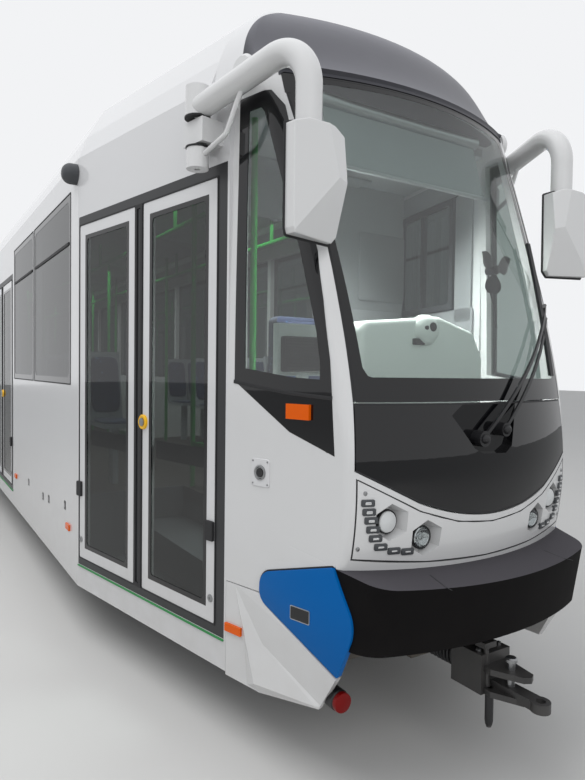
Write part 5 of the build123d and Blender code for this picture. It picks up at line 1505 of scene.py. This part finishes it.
@dataclass
class CornerPieces(Assembly):
    """Rounded access panel, folded skirt and infill of each corner, over the plain solids there.

    Args:
        panel: Corners of the panel: forward of the seam and height.
        radii: Radius of each of its corners.
        face: How far the panel stands out.
        skirt: Points of the skirt: forward of the seam, height and distance out.
        folds: Its flat faces, as numbers of its points.
        infill: Outer edge of the white infill along the panel, in two runs.
        split: Where the two runs meet, forward of the seam.
        gasket_ends: Where the bead round the panel starts and ends.
        depth: How far behind the wall's plane the panel and the infill start.
    """

    panel: Pairs = ((0.229, 0.712), (0.236, 0.830), (0.642, 0.939), (0.759, 0.718), (0.674, 0.500))
    radii: tuple[float, ...] = (0.070, 0.070, 0.012, 0.150, 0.005)
    face: float = 0.014
    skirt: Triples = (
        (0.002, 0.731, 0.0), (0.060, 0.731, 0.0), (0.230, 0.731, 0.006), (0.2385, 0.7175, 0.008),
        (0.252, 0.7015, 0.009), (0.270, 0.689, 0.010), (0.4507, 0.604, 0.020), (0.671, 0.494, 0.018),
        (0.574, 0.334, 0.0), (0.560, 0.343, 0.006), (0.218, 0.326, 0.026), (0.245, 0.505, 0.0),
        (0.585, 0.352, 0.0), (0.125, 0.495, 0.0), (0.150, 0.290, 0.0), (0.226, 0.284, 0.0),
        (0.002, 0.286, 0.0), (0.228, 0.280, 0.0))
    folds: tuple[tuple[int, ...], ...] = (
        (0, 16, 14, 13, 1), (1, 13, 10), (13, 14, 10), (1, 10, 11), (1, 11, 6), (1, 6, 5), (1, 5, 4),
        (1, 4, 3), (1, 3, 2), (11, 12, 6), (12, 7, 6), (11, 10, 9), (11, 9, 12), (14, 15, 10), (15, 9, 10),
        (16, 17, 15, 14), (17, 8, 9, 15), (8, 12, 9), (8, 7, 12))
    infill: tuple[Pairs, ...] = (
        ((0.2295, 0.781), (0.2295, 0.801), (0.317, 0.8955), (0.404, 0.9095)),
        ((0.404, 0.975), (0.619, 0.942), (0.646, 0.948)))
    split: float = 0.404
    gasket_ends: Pairs = ((0.262, 0.690), (0.640, 0.942))
    depth: float = 0.018

    def outline(self, grown: float = 0.0) -> Array:
        """The panel's rounded outline, grown by a distance."""
        return inset(rounded_corners(np.array(self.panel), np.array(self.radii)), -grown)

    def panel_plate(self, wall: Wall) -> Surface:
        """The panel: its outline from behind the wall to its face, with a 4 mm bevel."""
        line = self.outline()
        rings = [(line, -self.depth), (line, self.face - 0.004), (inset(line, 0.0015), self.face - 0.001),
                 (inset(line, 0.004), self.face)]
        return facing_out(ring_solid(np.stack([wall.at(p[:, 0], p[:, 1], out) for p, out in rings])))

    def skirt_plate(self, wall: Wall) -> Surface:
        """The skirt: flat folds in front, the same outline 20 mm behind, and its edges closed.

        An edge that only one fold has lies on the outline and gets a side face.
        """
        p = np.array(self.skirt)

        def area(f: tuple[int, ...]) -> float:
            """Twice the signed area of a fold, seen from outside."""
            return sum(p[f[i - 1], 0] * p[f[i], 1] - p[f[i], 0] * p[f[i - 1], 1] for i in range(len(f)))

        front = [f if area(f) > 0 else f[::-1] for f in self.folds]
        count = len(p)
        edges = {(f[i - 1], f[i]) for f in front for i in range(len(f))}
        sides = [(b, a, a + count, b + count) for a, b in sorted(edges) if (b, a) not in edges]
        back = [tuple(i + count for i in f[::-1]) for f in front]
        verts = np.concatenate([wall.at(*p.T), wall.at(p[:, 0], p[:, 1], -0.020)])
        return facing_out(Surface(verts, front + sides + back))

    def infill_bands(self, wall: Wall, skin: Skin) -> list[Surface]:
        """White bands between the panel's gap and the moulded end, flush with it."""
        line = self.outline(0.005)
        lowest, foremost = self.infill[0][0][1] - 0.006, self.infill[1][-1][0]
        ahead = line[(line[:, 1] > lowest) & (line[:, 0] < foremost)]
        ahead = ahead[np.argsort(ahead[:, 0])]
        cut = [[self.split, np.interp(self.split, ahead[:, 0], ahead[:, 1])]]
        runs = (np.concatenate([ahead[ahead[:, 0] < self.split], cut]),
                np.concatenate([cut, ahead[ahead[:, 0] > self.split]]))
        bands = []
        for run, edge in zip(runs, self.infill):
            share = np.linspace(0, 1, 40)
            grid = between(*(points_at(line, share * run_lengths(line)[-1])
                             for line in (np.array(edge), run)), 5)
            flat = wall.at(grid[..., 0], grid[..., 1]).reshape(-1, 3)
            depth, _ = skin.drop(flat, wall.axes)
            level = flat @ wall.axes[2]
            out = np.where(np.isnan(depth) | (depth < level - 0.004), level, depth) - level
            out = out.reshape(grid.shape[:2]) + 0.0012
            top = wall.at(grid[..., 0], grid[..., 1], out)
            low = wall.at(grid[..., 0], grid[..., 1], -self.depth)
            bands.append(facing_out(ring_solid(np.concatenate([top, low[::-1]]).transpose(1, 0, 2))))
        return bands

    def gasket(self, wall: Wall) -> Surface:
        """Dark bead in the gap round the panel's corner and along its top."""
        line = self.outline(0.0028)
        first, last = self.gasket_ends
        line = np.roll(line, -int(np.argmin(np.abs(line - first).sum(1))), 0)
        end = int(np.argmin(np.abs(line - last).sum(1)))
        path = wall.at(line[:end + 1, 0], line[:end + 1, 1], 0.0)
        return swept(resampled(path, 0.012), rounded_rect(0.0075, 0.009, 0.002, 3), up=wall.axes[2])

    def build(self) -> None:
        """Builds the corners of both ends."""
        panels, skirts, infills, gaskets = [], [], [], []
        for end, mask in ((1, "cab_mask"), (-1, "rear_mask")):
            skin = Skin(mask, "bumpers")
            for side in (-1, 1):
                wall = mirrored(CAB_WALL, side, end)
                panels.append(self.panel_plate(wall))
                skirts.append(self.skirt_plate(wall))
                infills += self.infill_bands(wall, skin)
                gaskets.append(self.gasket(wall))
        blue = self.add("corner_panel_covers", panels, Look.BLUE, "blue_panel")
        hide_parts("corner_panels")
        folded = self.add("corner_skirt_folds", skirts, Look.MOULDING, "skirt_grey", smooth_angle=4.0)
        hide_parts("corner_skirts")
        self.add("corner_infills", infills, Look.MOULDING, "white_paint")
        self.add("corner_gaskets", gaskets, Look.RUBBER, "rubber")


@dataclass
class BumperTrim(Assembly):
    """Seams across the bumper's top face.

    Args:
        seams: Distances from the middle of the seams.
        run: First and last x of a seam.
        splay: Share by which it leans outwards.
    """

    seams: tuple[float, ...] = (-0.36, 0.36)
    run: tuple[float, float] = (7.36, 7.50)
    splay: float = 1.06

    def build(self) -> None:
        """Builds both ends."""
        skin = Skin("bumpers")
        strips = []
        for end in (1, -1):
            up = np.array([[0, end * 1.0, 0], [-end * 1.0, 0, 0], [0, 0, 1.0]])
            for y in self.seams:
                path = np.array([[end * self.run[0], y, 2.0], [end * self.run[1], y * self.splay, 2.0]])
                strips.append(seal(skin, path, up, 0.005, 0.0008))
        self.add("bumper_seams", strips, Look.RUBBER, "rubber")


@dataclass
class WiperTrim(Assembly):
    """Rubber blade and cap nuts of the wiper.

    Args:
        blade: Ends and middle of the blade.
        bosses: y and height of the cap nuts.
        boss_x: x of their foot.
    """

    blade: Triples = ((7.085, 0.560, 2.390), (7.196, 0.525, 2.050), (7.290, 0.490, 1.715))
    bosses: Pairs = ((-0.083, 1.445), (0.052, 1.480))
    boss_x: float = 7.390

    def build(self) -> None:
        """Builds the blade's rubber on the glass side and the cap nuts.

        The blade follows the parabola through its three points.
        """
        p = np.array(self.blade)
        t = np.linspace(0, 1, 31)[:, None]
        bow = (1 - t) * (1 - 2 * t) * p[0] + 4 * t * (1 - t) * p[1] + t * (2 * t - 1) * p[2]
        bow = bow + np.array([-0.007, 0, FLANGE])
        section = np.array([[-0.004, -0.007], [0.004, -0.007], [0.006, 0.0], [0.002, 0.006],
                            [-0.002, 0.006], [-0.006, 0.0]])
        rubber = swept(bow, section, up=np.array([1.0, 0.2, 0.3]))
        cap = lathe([(0.020, -0.004), (0.020, 0.004), (0.014, 0.014), (0.008, 0.020), (0, 0.021)], 24)
        caps = [cap.moved(FRONT_AXES, np.array([self.boss_x, y, above_rail(z)])) for y, z in self.bosses]
        self.add("wiper_rubber", [rubber], Look.RUBBER, "rubber")
        self.add("wiper_caps", caps, Look.BLACK_PLASTIC, "frame_paint")


@dataclass
class RoofDetails(Assembly):
    """Lids, fans, clasps, cables, porcelain sheds, springs and aerials of the roof.

    Args:
        units: First and last x, half width and top of each equipment box.
        insulators: x and y of the collector's feet.
        deck: Height of the roof deck.
        pitch: Longest lid.
        fans_behind: Boxes that start behind this x have fans.
        aerials: x and y of the aerials.
        aerial_foot: Height of their feet.
    """

    units: tuple[tuple[float, float, float, float], ...] = (
        (-1.6, 1.0, 0.700, 3.430), (-4.4, -2.2, 0.640, 3.400), (4.3, 5.8, 0.520, 3.390))
    insulators: Pairs = ((2.76, -0.37), (2.76, 0.37), (3.84, -0.37), (3.84, 0.37))
    deck: float = 3.070
    pitch: float = 0.75
    fans_behind: float = 4.0
    aerials: Pairs = ((6.05, 0.28), (-5.2, 0.0), (-5.6, 0.35))
    aerial_foot: float = 3.084

    def lids(self) -> tuple[list[Surface], list[Surface], list[Surface]]:
        """Lid panels with handles and bolts on each box, and the fans of the long boxes."""
        panels, metal, fans = [], [], []
        fan = [lathe([(r, 0.013), (r, 0.022), (r - 0.008, 0.022), (r - 0.008, 0.013)], 40, True)
               for r in 0.19 - 0.03 * np.arange(6)]
        fan.append(lathe([(0.045, 0.010), (0.045, 0.020), (0.03, 0.026), (0, 0.026)], 30))
        bolt = lathe([(0.012, 0.008), (0.012, 0.018), (0.008, 0.022), (0, 0.022)], 6)
        for x0, x1, half, top in self.units:
            count = max(2, round((x1 - x0) / self.pitch))
            pitch = (x1 - x0) / count
            lid = puck(rounded_rect(pitch - 0.04, 2 * half - 0.30, 0.03),
                       [(0, -0.002), (0, 0.010), (0.006, 0.014)])
            for k in range(count):
                x = x0 + pitch * (k + 0.5)
                panels.append(lid.raised(x, 0, top))
                if k % 2 == 0 and x0 < self.fans_behind:
                    fans += [part.raised(x, 0, top) for part in fan]
                for side in (-1, 1):
                    y = side * (half - 0.20)
                    grip = np.array([[x - 0.07, y, 0], [x - 0.065, y, 0.03], [x - 0.05, y, 0.038],
                                     [x + 0.05, y, 0.038], [x + 0.065, y, 0.03], [x + 0.07, y, 0]])
                    grip = grip + [0, 0, above_rail(top) + 0.008]
                    metal.append(swept(resampled(grip, 0.02), circle(0.006, 8), up=Y_AXIS))
                    metal += [bolt.raised(x + dx * pitch, side * (half - 0.165), top)
                              for dx in (-0.25, 0.25)]
        return panels, metal, fans

    def cables(self) -> list[Surface]:
        """Cable runs from the collector to the boxes, held by saddles."""
        runs = []
        for y in (-0.20, -0.14, 0.16, 0.22):
            path = np.array([[2.62, y, 3.28], [2.45, y, 3.25], [2.30, y, 3.12], [2.10, y, 3.10],
                             [1.25, y, 3.10], [1.12, y, 3.13], [1.02, y, 3.20]]) + [0, 0, FLANGE]
            runs.append(swept(smoothed(path, 60), circle(0.018, 12), up=Y_AXIS))
        for y in (-0.92, 0.92):
            path = np.array([[x, y, above_rail(3.10)] for x in (-5.6, -4.6, -1.8, 0.8, 2.6, 4.1)])
            runs.append(swept(resampled(path, 0.4), rounded_rect(0.05, 0.04, 0.008, 3)))
        return runs

    def collector(self) -> tuple[list[Surface], list[Surface]]:
        """Sheds and springs of the collector."""
        profile = [(0.043, 0.0), (0.043, 0.022)]
        for z in 0.025 + 0.032 * np.arange(4):
            profile += [(0.045, z), (0.070, z + 0.006), (0.071, z + 0.010), (0.046, z + 0.022)]
        shed = lathe(profile + [(0.043, 0.150)], 32)
        t = np.linspace(0, 2 * np.pi * 22, 22 * 12)
        coils = []
        for y in (-0.22, 0.22):
            coil = np.stack([2.86 + 0.40 * t / t[-1], y + 0.022 * np.cos(t),
                             above_rail(3.318) + 0.022 * np.sin(t)], -1)
            coils.append(swept(coil, circle(0.0045, 6), up=X_AXIS))
        return [shed.raised(x, y, self.deck) for x, y in self.insulators], coils

    def build(self) -> None:
        """Builds the roof's details."""
        panels, metal, fans = self.lids()
        self.add("roof_lids", panels, Look.ROOF, "roof_grey")
        self.add("roof_clasps", metal, Look.ZINC, "cast_steel")
        self.add("roof_fans", fans, Look.BLACK_PLASTIC, "frame_paint")
        self.add("roof_cables", self.cables(), Look.RUBBER, "rubber")
        sheds, coils = self.collector()
        self.add("insulator_sheds", sheds, Look.PORCELAIN, "collector")
        self.add("collector_springs", coils, Look.CASTING, "cast_steel")
        aerial = lathe([(0.05, 0.0), (0.05, 0.015), (0.03, 0.045), (0.012, 0.055), (0.008, 0.13),
                        (0, 0.135)], 28)
        aerials = [aerial.raised(x, y, self.aerial_foot) for x, y in self.aerials]
        self.add("roof_aerials", aerials, Look.BLACK_PLASTIC, "frame_paint")


@dataclass
class BogieDetails(Assembly):
    """Axle-box rings, bolts, hoses and wheel details of each bogie.

    Args:
        centres: Names and x of the bogies.
        axle: Distance of each axle from the bogie's middle.
        axle_height: Height of the axles.
        beam_face: Half width over the side beams.
        hose: Distance along, half width and height of a hose's ends and corner.
    """

    centres: tuple[tuple[str, float], ...] = (("front", 3.45), ("rear", -3.45))
    axle: float = 0.95
    axle_height: float = 0.327
    beam_face: float = 0.560
    hose: Triples = ((0.42, 0.50, 0.52), (0.62, 0.60, 0.60), (0.86, 0.585, 0.44))

    def bolts(self, at: Array, count: int, radius: float, face: Array) -> list[Surface]:
        """A ring of hexagon bolts round a point of a face."""
        head = lathe([(0.013, -0.004), (0.013, 0.008), (0.010, 0.011), (0, 0.011)], 6)
        return [head.moved(face, at + radius * (math.cos(t) * face[0] + math.sin(t) * face[1]))
                for t in np.linspace(0, 2 * np.pi, count, endpoint=False)]

    def frame_details(self, name: str, x: float) -> None:
        """Rings and bolts on one bogie's beams, and its hoses."""
        z = above_rail(self.axle_height)
        ring = lathe([(0.100, -0.002), (0.100, 0.012), (0.078, 0.012), (0.078, -0.002)], 32, True)
        t = np.linspace(0, 1, 24)[:, None]
        metal, hoses, castings = [], [], []
        for side in (-1, 1):
            face = np.array([[1.0, 0, 0], [0, 0, 1.0], [0, side * 1.0, 0]])
            for end in (-1, 1):
                place = np.array([x + end * self.axle, side * self.beam_face, z])
                castings.append(ring.moved(face, place))
                metal += self.bolts(place + [0, side * 0.010, 0], 6, 0.089, face)
                hose = bend(t, *(np.array([x + end * dx, side * y, above_rail(h)])
                                 for dx, y, h in self.hose))
                hoses.append(swept(hose, circle(0.013, 10), up=np.array([0, 1.0, 0.2])))
            for along in (-0.18, 0.18):
                place = np.array([x + along, side * self.beam_face, above_rail(0.42)])
                metal += self.bolts(place, 4, 0.035, face)
        body = f"bogie_{name}"
        self.add(f"bogie_bolts_{name}", metal, Look.ZINC, "cast_steel", body)
        self.add(f"bogie_hoses_{name}", hoses, Look.RUBBER, "rubber", body)
        self.add(f"bogie_rings_{name}", castings, Look.CASTING, "cast_steel", body)

    def wheel_details(self, number: int, x: float) -> None:
        """Bright tread, hub bolts and rubber blocks of one wheelset."""
        z = above_rail(self.axle_height)
        tread = lathe([(0.3275, 0.722), (0.3282, 0.726), (0.3282, 0.782), (0.3275, 0.787),
                       (0.3255, 0.787), (0.3255, 0.722)], 96, True)
        block = puck(rounded_rect(0.045, 0.030, 0.006), [(0, 0), (0, 0.010), (0.003, 0.013)])
        treads, hubs, blocks = [], [], []
        for side in (-1, 1):
            face = np.array([[1.0, 0, 0], [0, 0, side * 1.0], [0, side * 1.0, 0]])
            treads.append(tread.moved(face, np.array([x, 0, z])))
            hubs += self.bolts(np.array([x, side * 0.800, z]), 8, 0.090, face)
            for t in np.linspace(0, 2 * np.pi, 12, endpoint=False):
                c, s = math.cos(t), math.sin(t)
                spin = np.array([[c, s, 0], [-s, c, 0], [0, 0, 1.0]])
                at = np.array([x, side * 0.766, z]) + 0.185 * (c * face[0] + s * face[1])
                blocks.append(block.moved(spin @ face, at))
        body = f"axle_{number}"
        self.add(f"wheel_treads_{number}", treads, Look.TREAD, "wheel_steel", body)
        self.add(f"wheel_bolts_{number}", hubs, Look.ZINC, "cast_steel", body)
        self.add(f"wheel_blocks_{number}", blocks, Look.RUBBER, "rubber", body)

    def build(self) -> None:
        """Builds both bogies' details, then those of the four wheelsets."""
        for name, x in self.centres:
            self.frame_details(name, x)
        axles = [x + end * self.axle for _, x in self.centres for end in (1, -1)]
        for number, x in enumerate(axles, 1):
            self.wheel_details(number, x)


@dataclass
class CouplerDetails(Assembly):
    """Pins, bolts, springs and grips of the couplers, and the red-capped socket beside each.

    Args:
        pin: x and height of the pin.
        grip: x, y and height of the grip.
        bolts: x of both pairs of bolts, their half distance and their height.
        socket: x, y and height of the socket.
        stem: x and height of each point of its stem.
    """

    pin: tuple[float, float] = (7.480, 0.395)
    grip: tuple[float, float, float] = (7.4118, -0.050, 0.385)
    bolts: tuple[float, float, float, float] = (7.26, 7.36, 0.065, 0.525)
    socket: tuple[float, float, float] = (7.17, 0.665, 0.385)
    stem: Pairs = ((7.13, 0.62), (7.11, 0.56), (7.12, 0.44), (7.13, 0.40))

    def build(self) -> None:
        """Builds both couplers' details, then the sockets."""
        pin = lathe([(0.017, -0.035), (0.017, 0.118), (0.026, 0.118), (0.026, 0.130), (0.020, 0.136),
                     (0, 0.136)], 24)
        bolt = lathe([(0.012, -0.004), (0.012, 0.010), (0.008, 0.013), (0, 0.013)], 6)
        grip = lathe([(0.015, -0.16), (0.018, -0.14), (0.018, -0.02), (0.013, 0.0)], 16)
        t = np.linspace(0, 2 * np.pi * 9, 9 * 14)
        for word, end in (("front", 1), ("rear", -1)):
            body = f"coupler_{word}_bar"
            metal = [pin.raised(end * self.pin[0], 0.0, self.pin[1])]
            *bolt_x, half, height = self.bolts
            metal += [bolt.raised(end * x, y, height) for x in bolt_x for y in (-half, half)]
            coil = np.stack([end * (7.02 + 0.19 * t / t[-1]), 0.060 * np.cos(t),
                             above_rail(0.440) + 0.060 * np.sin(t)], -1)
            dark = [swept(coil, circle(0.008, 8), up=X_AXIS),
                    grip.raised(end * self.grip[0], *self.grip[1:])]
            self.add(f"coupler_pins_{word}", metal, Look.ZINC, "cast_steel", body)
            self.add(f"coupler_spring_{word}", dark, Look.BLACK_PLASTIC, "frame_paint", body)
        socket = lathe([(0.040, -0.09), (0.044, -0.06), (0.044, 0.0), (0.036, 0.010), (0, 0.010)], 24)
        cap = lathe([(0.040, 0.006), (0.042, 0.014), (0.040, 0.026), (0.020, 0.032), (0, 0.033)], 24)
        sockets, caps = [], []
        for end, axes in ((1, FRONT_AXES), (-1, REAR_AXES)):
            x, y, z = self.socket
            y = -end * y
            place = np.array([end * x, y, above_rail(z)])
            sockets.append(socket.moved(axes, place))
            stem = np.array([[end * x, y, above_rail(z)] for x, z in self.stem])
            sockets.append(swept(resampled(stem, 0.02), rounded_rect(0.030, 0.012, 0.004, 3),
                                 up=Y_AXIS))
            caps.append(cap.moved(axes, place))
        self.add("train_line_sockets", sockets, Look.BLACK_PLASTIC, "frame_paint")
        self.add("train_line_caps", caps, Look.RED, "red_lens")


@dataclass
class UnderBodyDetails(Assembly):
    """Pipes and box lids under the floor.

    Args:
        underside: Height of the boxes' underside and of the pipes.
        pipes: y of each pipe.
        lids: x, y and length of each lid.
    """

    underside: float = 0.400
    pipes: tuple[float, ...] = (-0.30, -0.24, 0.26, 0.34)
    lids: Triples = ((-1.4, -0.75, 0.7), (0.9, -0.75, 0.8), (-0.6, 0.75, 0.9), (1.1, 0.75, 0.5))

    def build(self) -> None:
        """Builds the pipes and lids along the middle section."""
        height = above_rail(self.underside)
        pipes = [swept(resampled(np.array([[-2.0, y, height], [2.0, y, height]]), 0.5), circle(0.016, 12))
                 for y in self.pipes]
        edge = [(0, 0.0), (0, -0.018), (0.008, -0.024)]
        lids = [puck(rounded_rect(length, 0.30, 0.03), edge).raised(x, y, self.underside)
                for x, y, length in self.lids]
        self.add("under_pipes", pipes, Look.ZINC, "cast_steel")
        self.add("under_lids", lids, Look.CHASSIS, "frame_paint")


@dataclass
class SaloonDetails(Assembly):
    """Ceiling panels and lamp strips of the saloon.

    Args:
        ceiling: Height of the ceiling.
        lamps: y of the lamp strips.
    """

    ceiling: float = 3.018
    lamps: tuple[float, ...] = (-0.66, 0.66)

    def build(self) -> None:
        """Builds the ceiling's panels and lamps."""
        panel = puck(rounded_rect(0.88, 1.10, 0.02), [(0, 0.0), (0, -0.006), (0.006, -0.010)])
        lamp = puck(rounded_rect(11.0, 0.12, 0.05), [(0, 0.0), (0, -0.012), (0.02, -0.022)])
        panels = [panel.raised(x, 0, self.ceiling) for x in np.arange(-5.4, 6.0, 0.9)]
        strips = [lamp.raised(0, y, self.ceiling) for y in self.lamps]
        self.add("ceiling_panels", panels, Look.LINING, "interior_grey")
        self.add("ceiling_lamps", strips, Look.FROSTED, "lamp_lens")


class Studio:
    """Floor, lights and camera."""

    position: tuple[float, float, float] = (9.16, -2.1586, 1.7465)
    yaw: float = 32.13
    pitch: float = 1.73
    roll: float = 0.72
    focal_px: float = 619.43
    long_side_px: float = 780.0

    def camera(self) -> None:
        """Sets the camera where the photograph was taken from."""
        yaw, pitch, roll = (math.radians(a) for a in (self.yaw, self.pitch, self.roll))
        ahead = np.array([-math.cos(yaw), math.sin(yaw), 0.0])
        right = np.array([math.sin(yaw), math.cos(yaw), 0.0])
        view = ahead * math.cos(pitch) - Z_AXIS * math.sin(pitch)
        top = Z_AXIS * math.cos(pitch) + ahead * math.sin(pitch)
        across = right * math.cos(roll) + top * math.sin(roll)
        top = -right * math.sin(roll) + top * math.cos(roll)
        data = bpy.data.cameras.new("camera")
        data.sensor_width = 36.0
        data.lens = 36.0 * self.focal_px / self.long_side_px
        cam = bpy.data.objects.new("camera", data)
        bpy.context.scene.collection.objects.link(cam)
        rows = np.stack([across, top, -view])
        cam.matrix_world = Matrix.Translation(Vector(self.position)) @ Matrix(rows.T.tolist()).to_4x4()
        bpy.context.scene.camera = cam

    def world(self) -> None:
        """Even pale studio light from all round."""
        world = bpy.data.worlds.new("studio")
        bpy.context.scene.world = world
        world.use_nodes = True
        tree = world.node_tree
        tree.nodes.clear()
        path = node(tree, "ShaderNodeLightPath").outputs
        seen = maths(tree, "MAXIMUM", path["Is Camera Ray"],
                     maths(tree, "MAXIMUM", path["Is Glossy Ray"], path["Is Transmission Ray"]))
        soft = node(tree, "ShaderNodeBackground", None, {"Color": (0.93, 0.96, 1.0, 1), "Strength": 0.62})
        pale = node(tree, "ShaderNodeBackground", None, {"Color": linear("F2F3F5"), "Strength": 1.0})
        mix = node(tree, "ShaderNodeMixShader", None, {0: seen, 1: soft.outputs[0], 2: pale.outputs[0]})
        node(tree, "ShaderNodeOutputWorld", None, {0: mix.outputs[0]})

    def lamp(self, name: str, place: tuple[float, float, float], aim: tuple[float, float, float],
             size: float, watts: float, spread: float = 180.0) -> None:
        """Adds one square area lamp whose light spreads over an angle in degrees."""
        data = bpy.data.lights.new(name, "AREA")
        data.energy, data.size, data.spread = watts, size, math.radians(spread)
        lamp = bpy.data.objects.new(name, data)
        bpy.context.scene.collection.objects.link(lamp)
        lamp.location = place
        lamp.visible_camera = lamp.visible_glossy = lamp.visible_transmission = False
        lamp.rotation_euler = (Vector(aim) - Vector(place)).to_track_quat("-Z", "Y").to_euler()

    def floor(self) -> None:
        """A wide pale floor under the wheels."""
        size = 60.0
        mesh = bpy.data.meshes.new("floor")
        corners = [(x * size, y * size, 0) for x, y in ((-1, -1), (1, -1), (1, 1), (-1, 1))]
        mesh.from_pydata(corners, [], [(0, 1, 2, 3)])
        obj = bpy.data.objects.new("floor", mesh)
        bpy.context.scene.collection.objects.link(obj)
        concrete = Finish("pale_floor", "C9C8C6", "C2C1BF", 0.8, drift_mm=3000, drift=0.4)
        mesh.materials.append(concrete.build())

    def build(self) -> None:
        """Sets the whole stage."""
        self.camera()
        self.world()
        self.floor()
        self.lamp("overhead", (4.0, -3.0, 9.0), (3.0, -0.5, 1.0), 9.0, 600.0)
        self.lamp("front_soft", (14.0, -3.0, 5.0), (7.0, -0.4, 1.3), 6.0, 270.0)
        self.lamp("cab_fill", (6.35, 0.0, 2.95), (6.6, 0.0, 1.6), 0.8, 60.0, 120.0)
        for x in (-4.2, -1.4, 1.4, 4.2):
            self.lamp("saloon_fill", (x, 0.0, 2.95), (x, 0.0, 1.0), 1.4, 50.0)
        bpy.context.scene.view_settings.view_transform = "Standard"


def main() -> None:
    """Builds the stage, the finishes and every sub-assembly in order."""
    logging.basicConfig(level=logging.INFO)
    finishes = Finishes()
    Studio().build()
    dress_nodes(finishes)
    for assembly in (LampPanels, DoorTrim, WindowTrim, CabTrim, CabInterior, SeatCushions, MirrorTrim,
                     SideFittings, CornerPieces, BumperTrim, WiperTrim, RoofDetails, BogieDetails,
                     CouplerDetails, UnderBodyDetails, SaloonDetails):
        assembly(finishes).build()


if __name__ == "__main__":
    main()
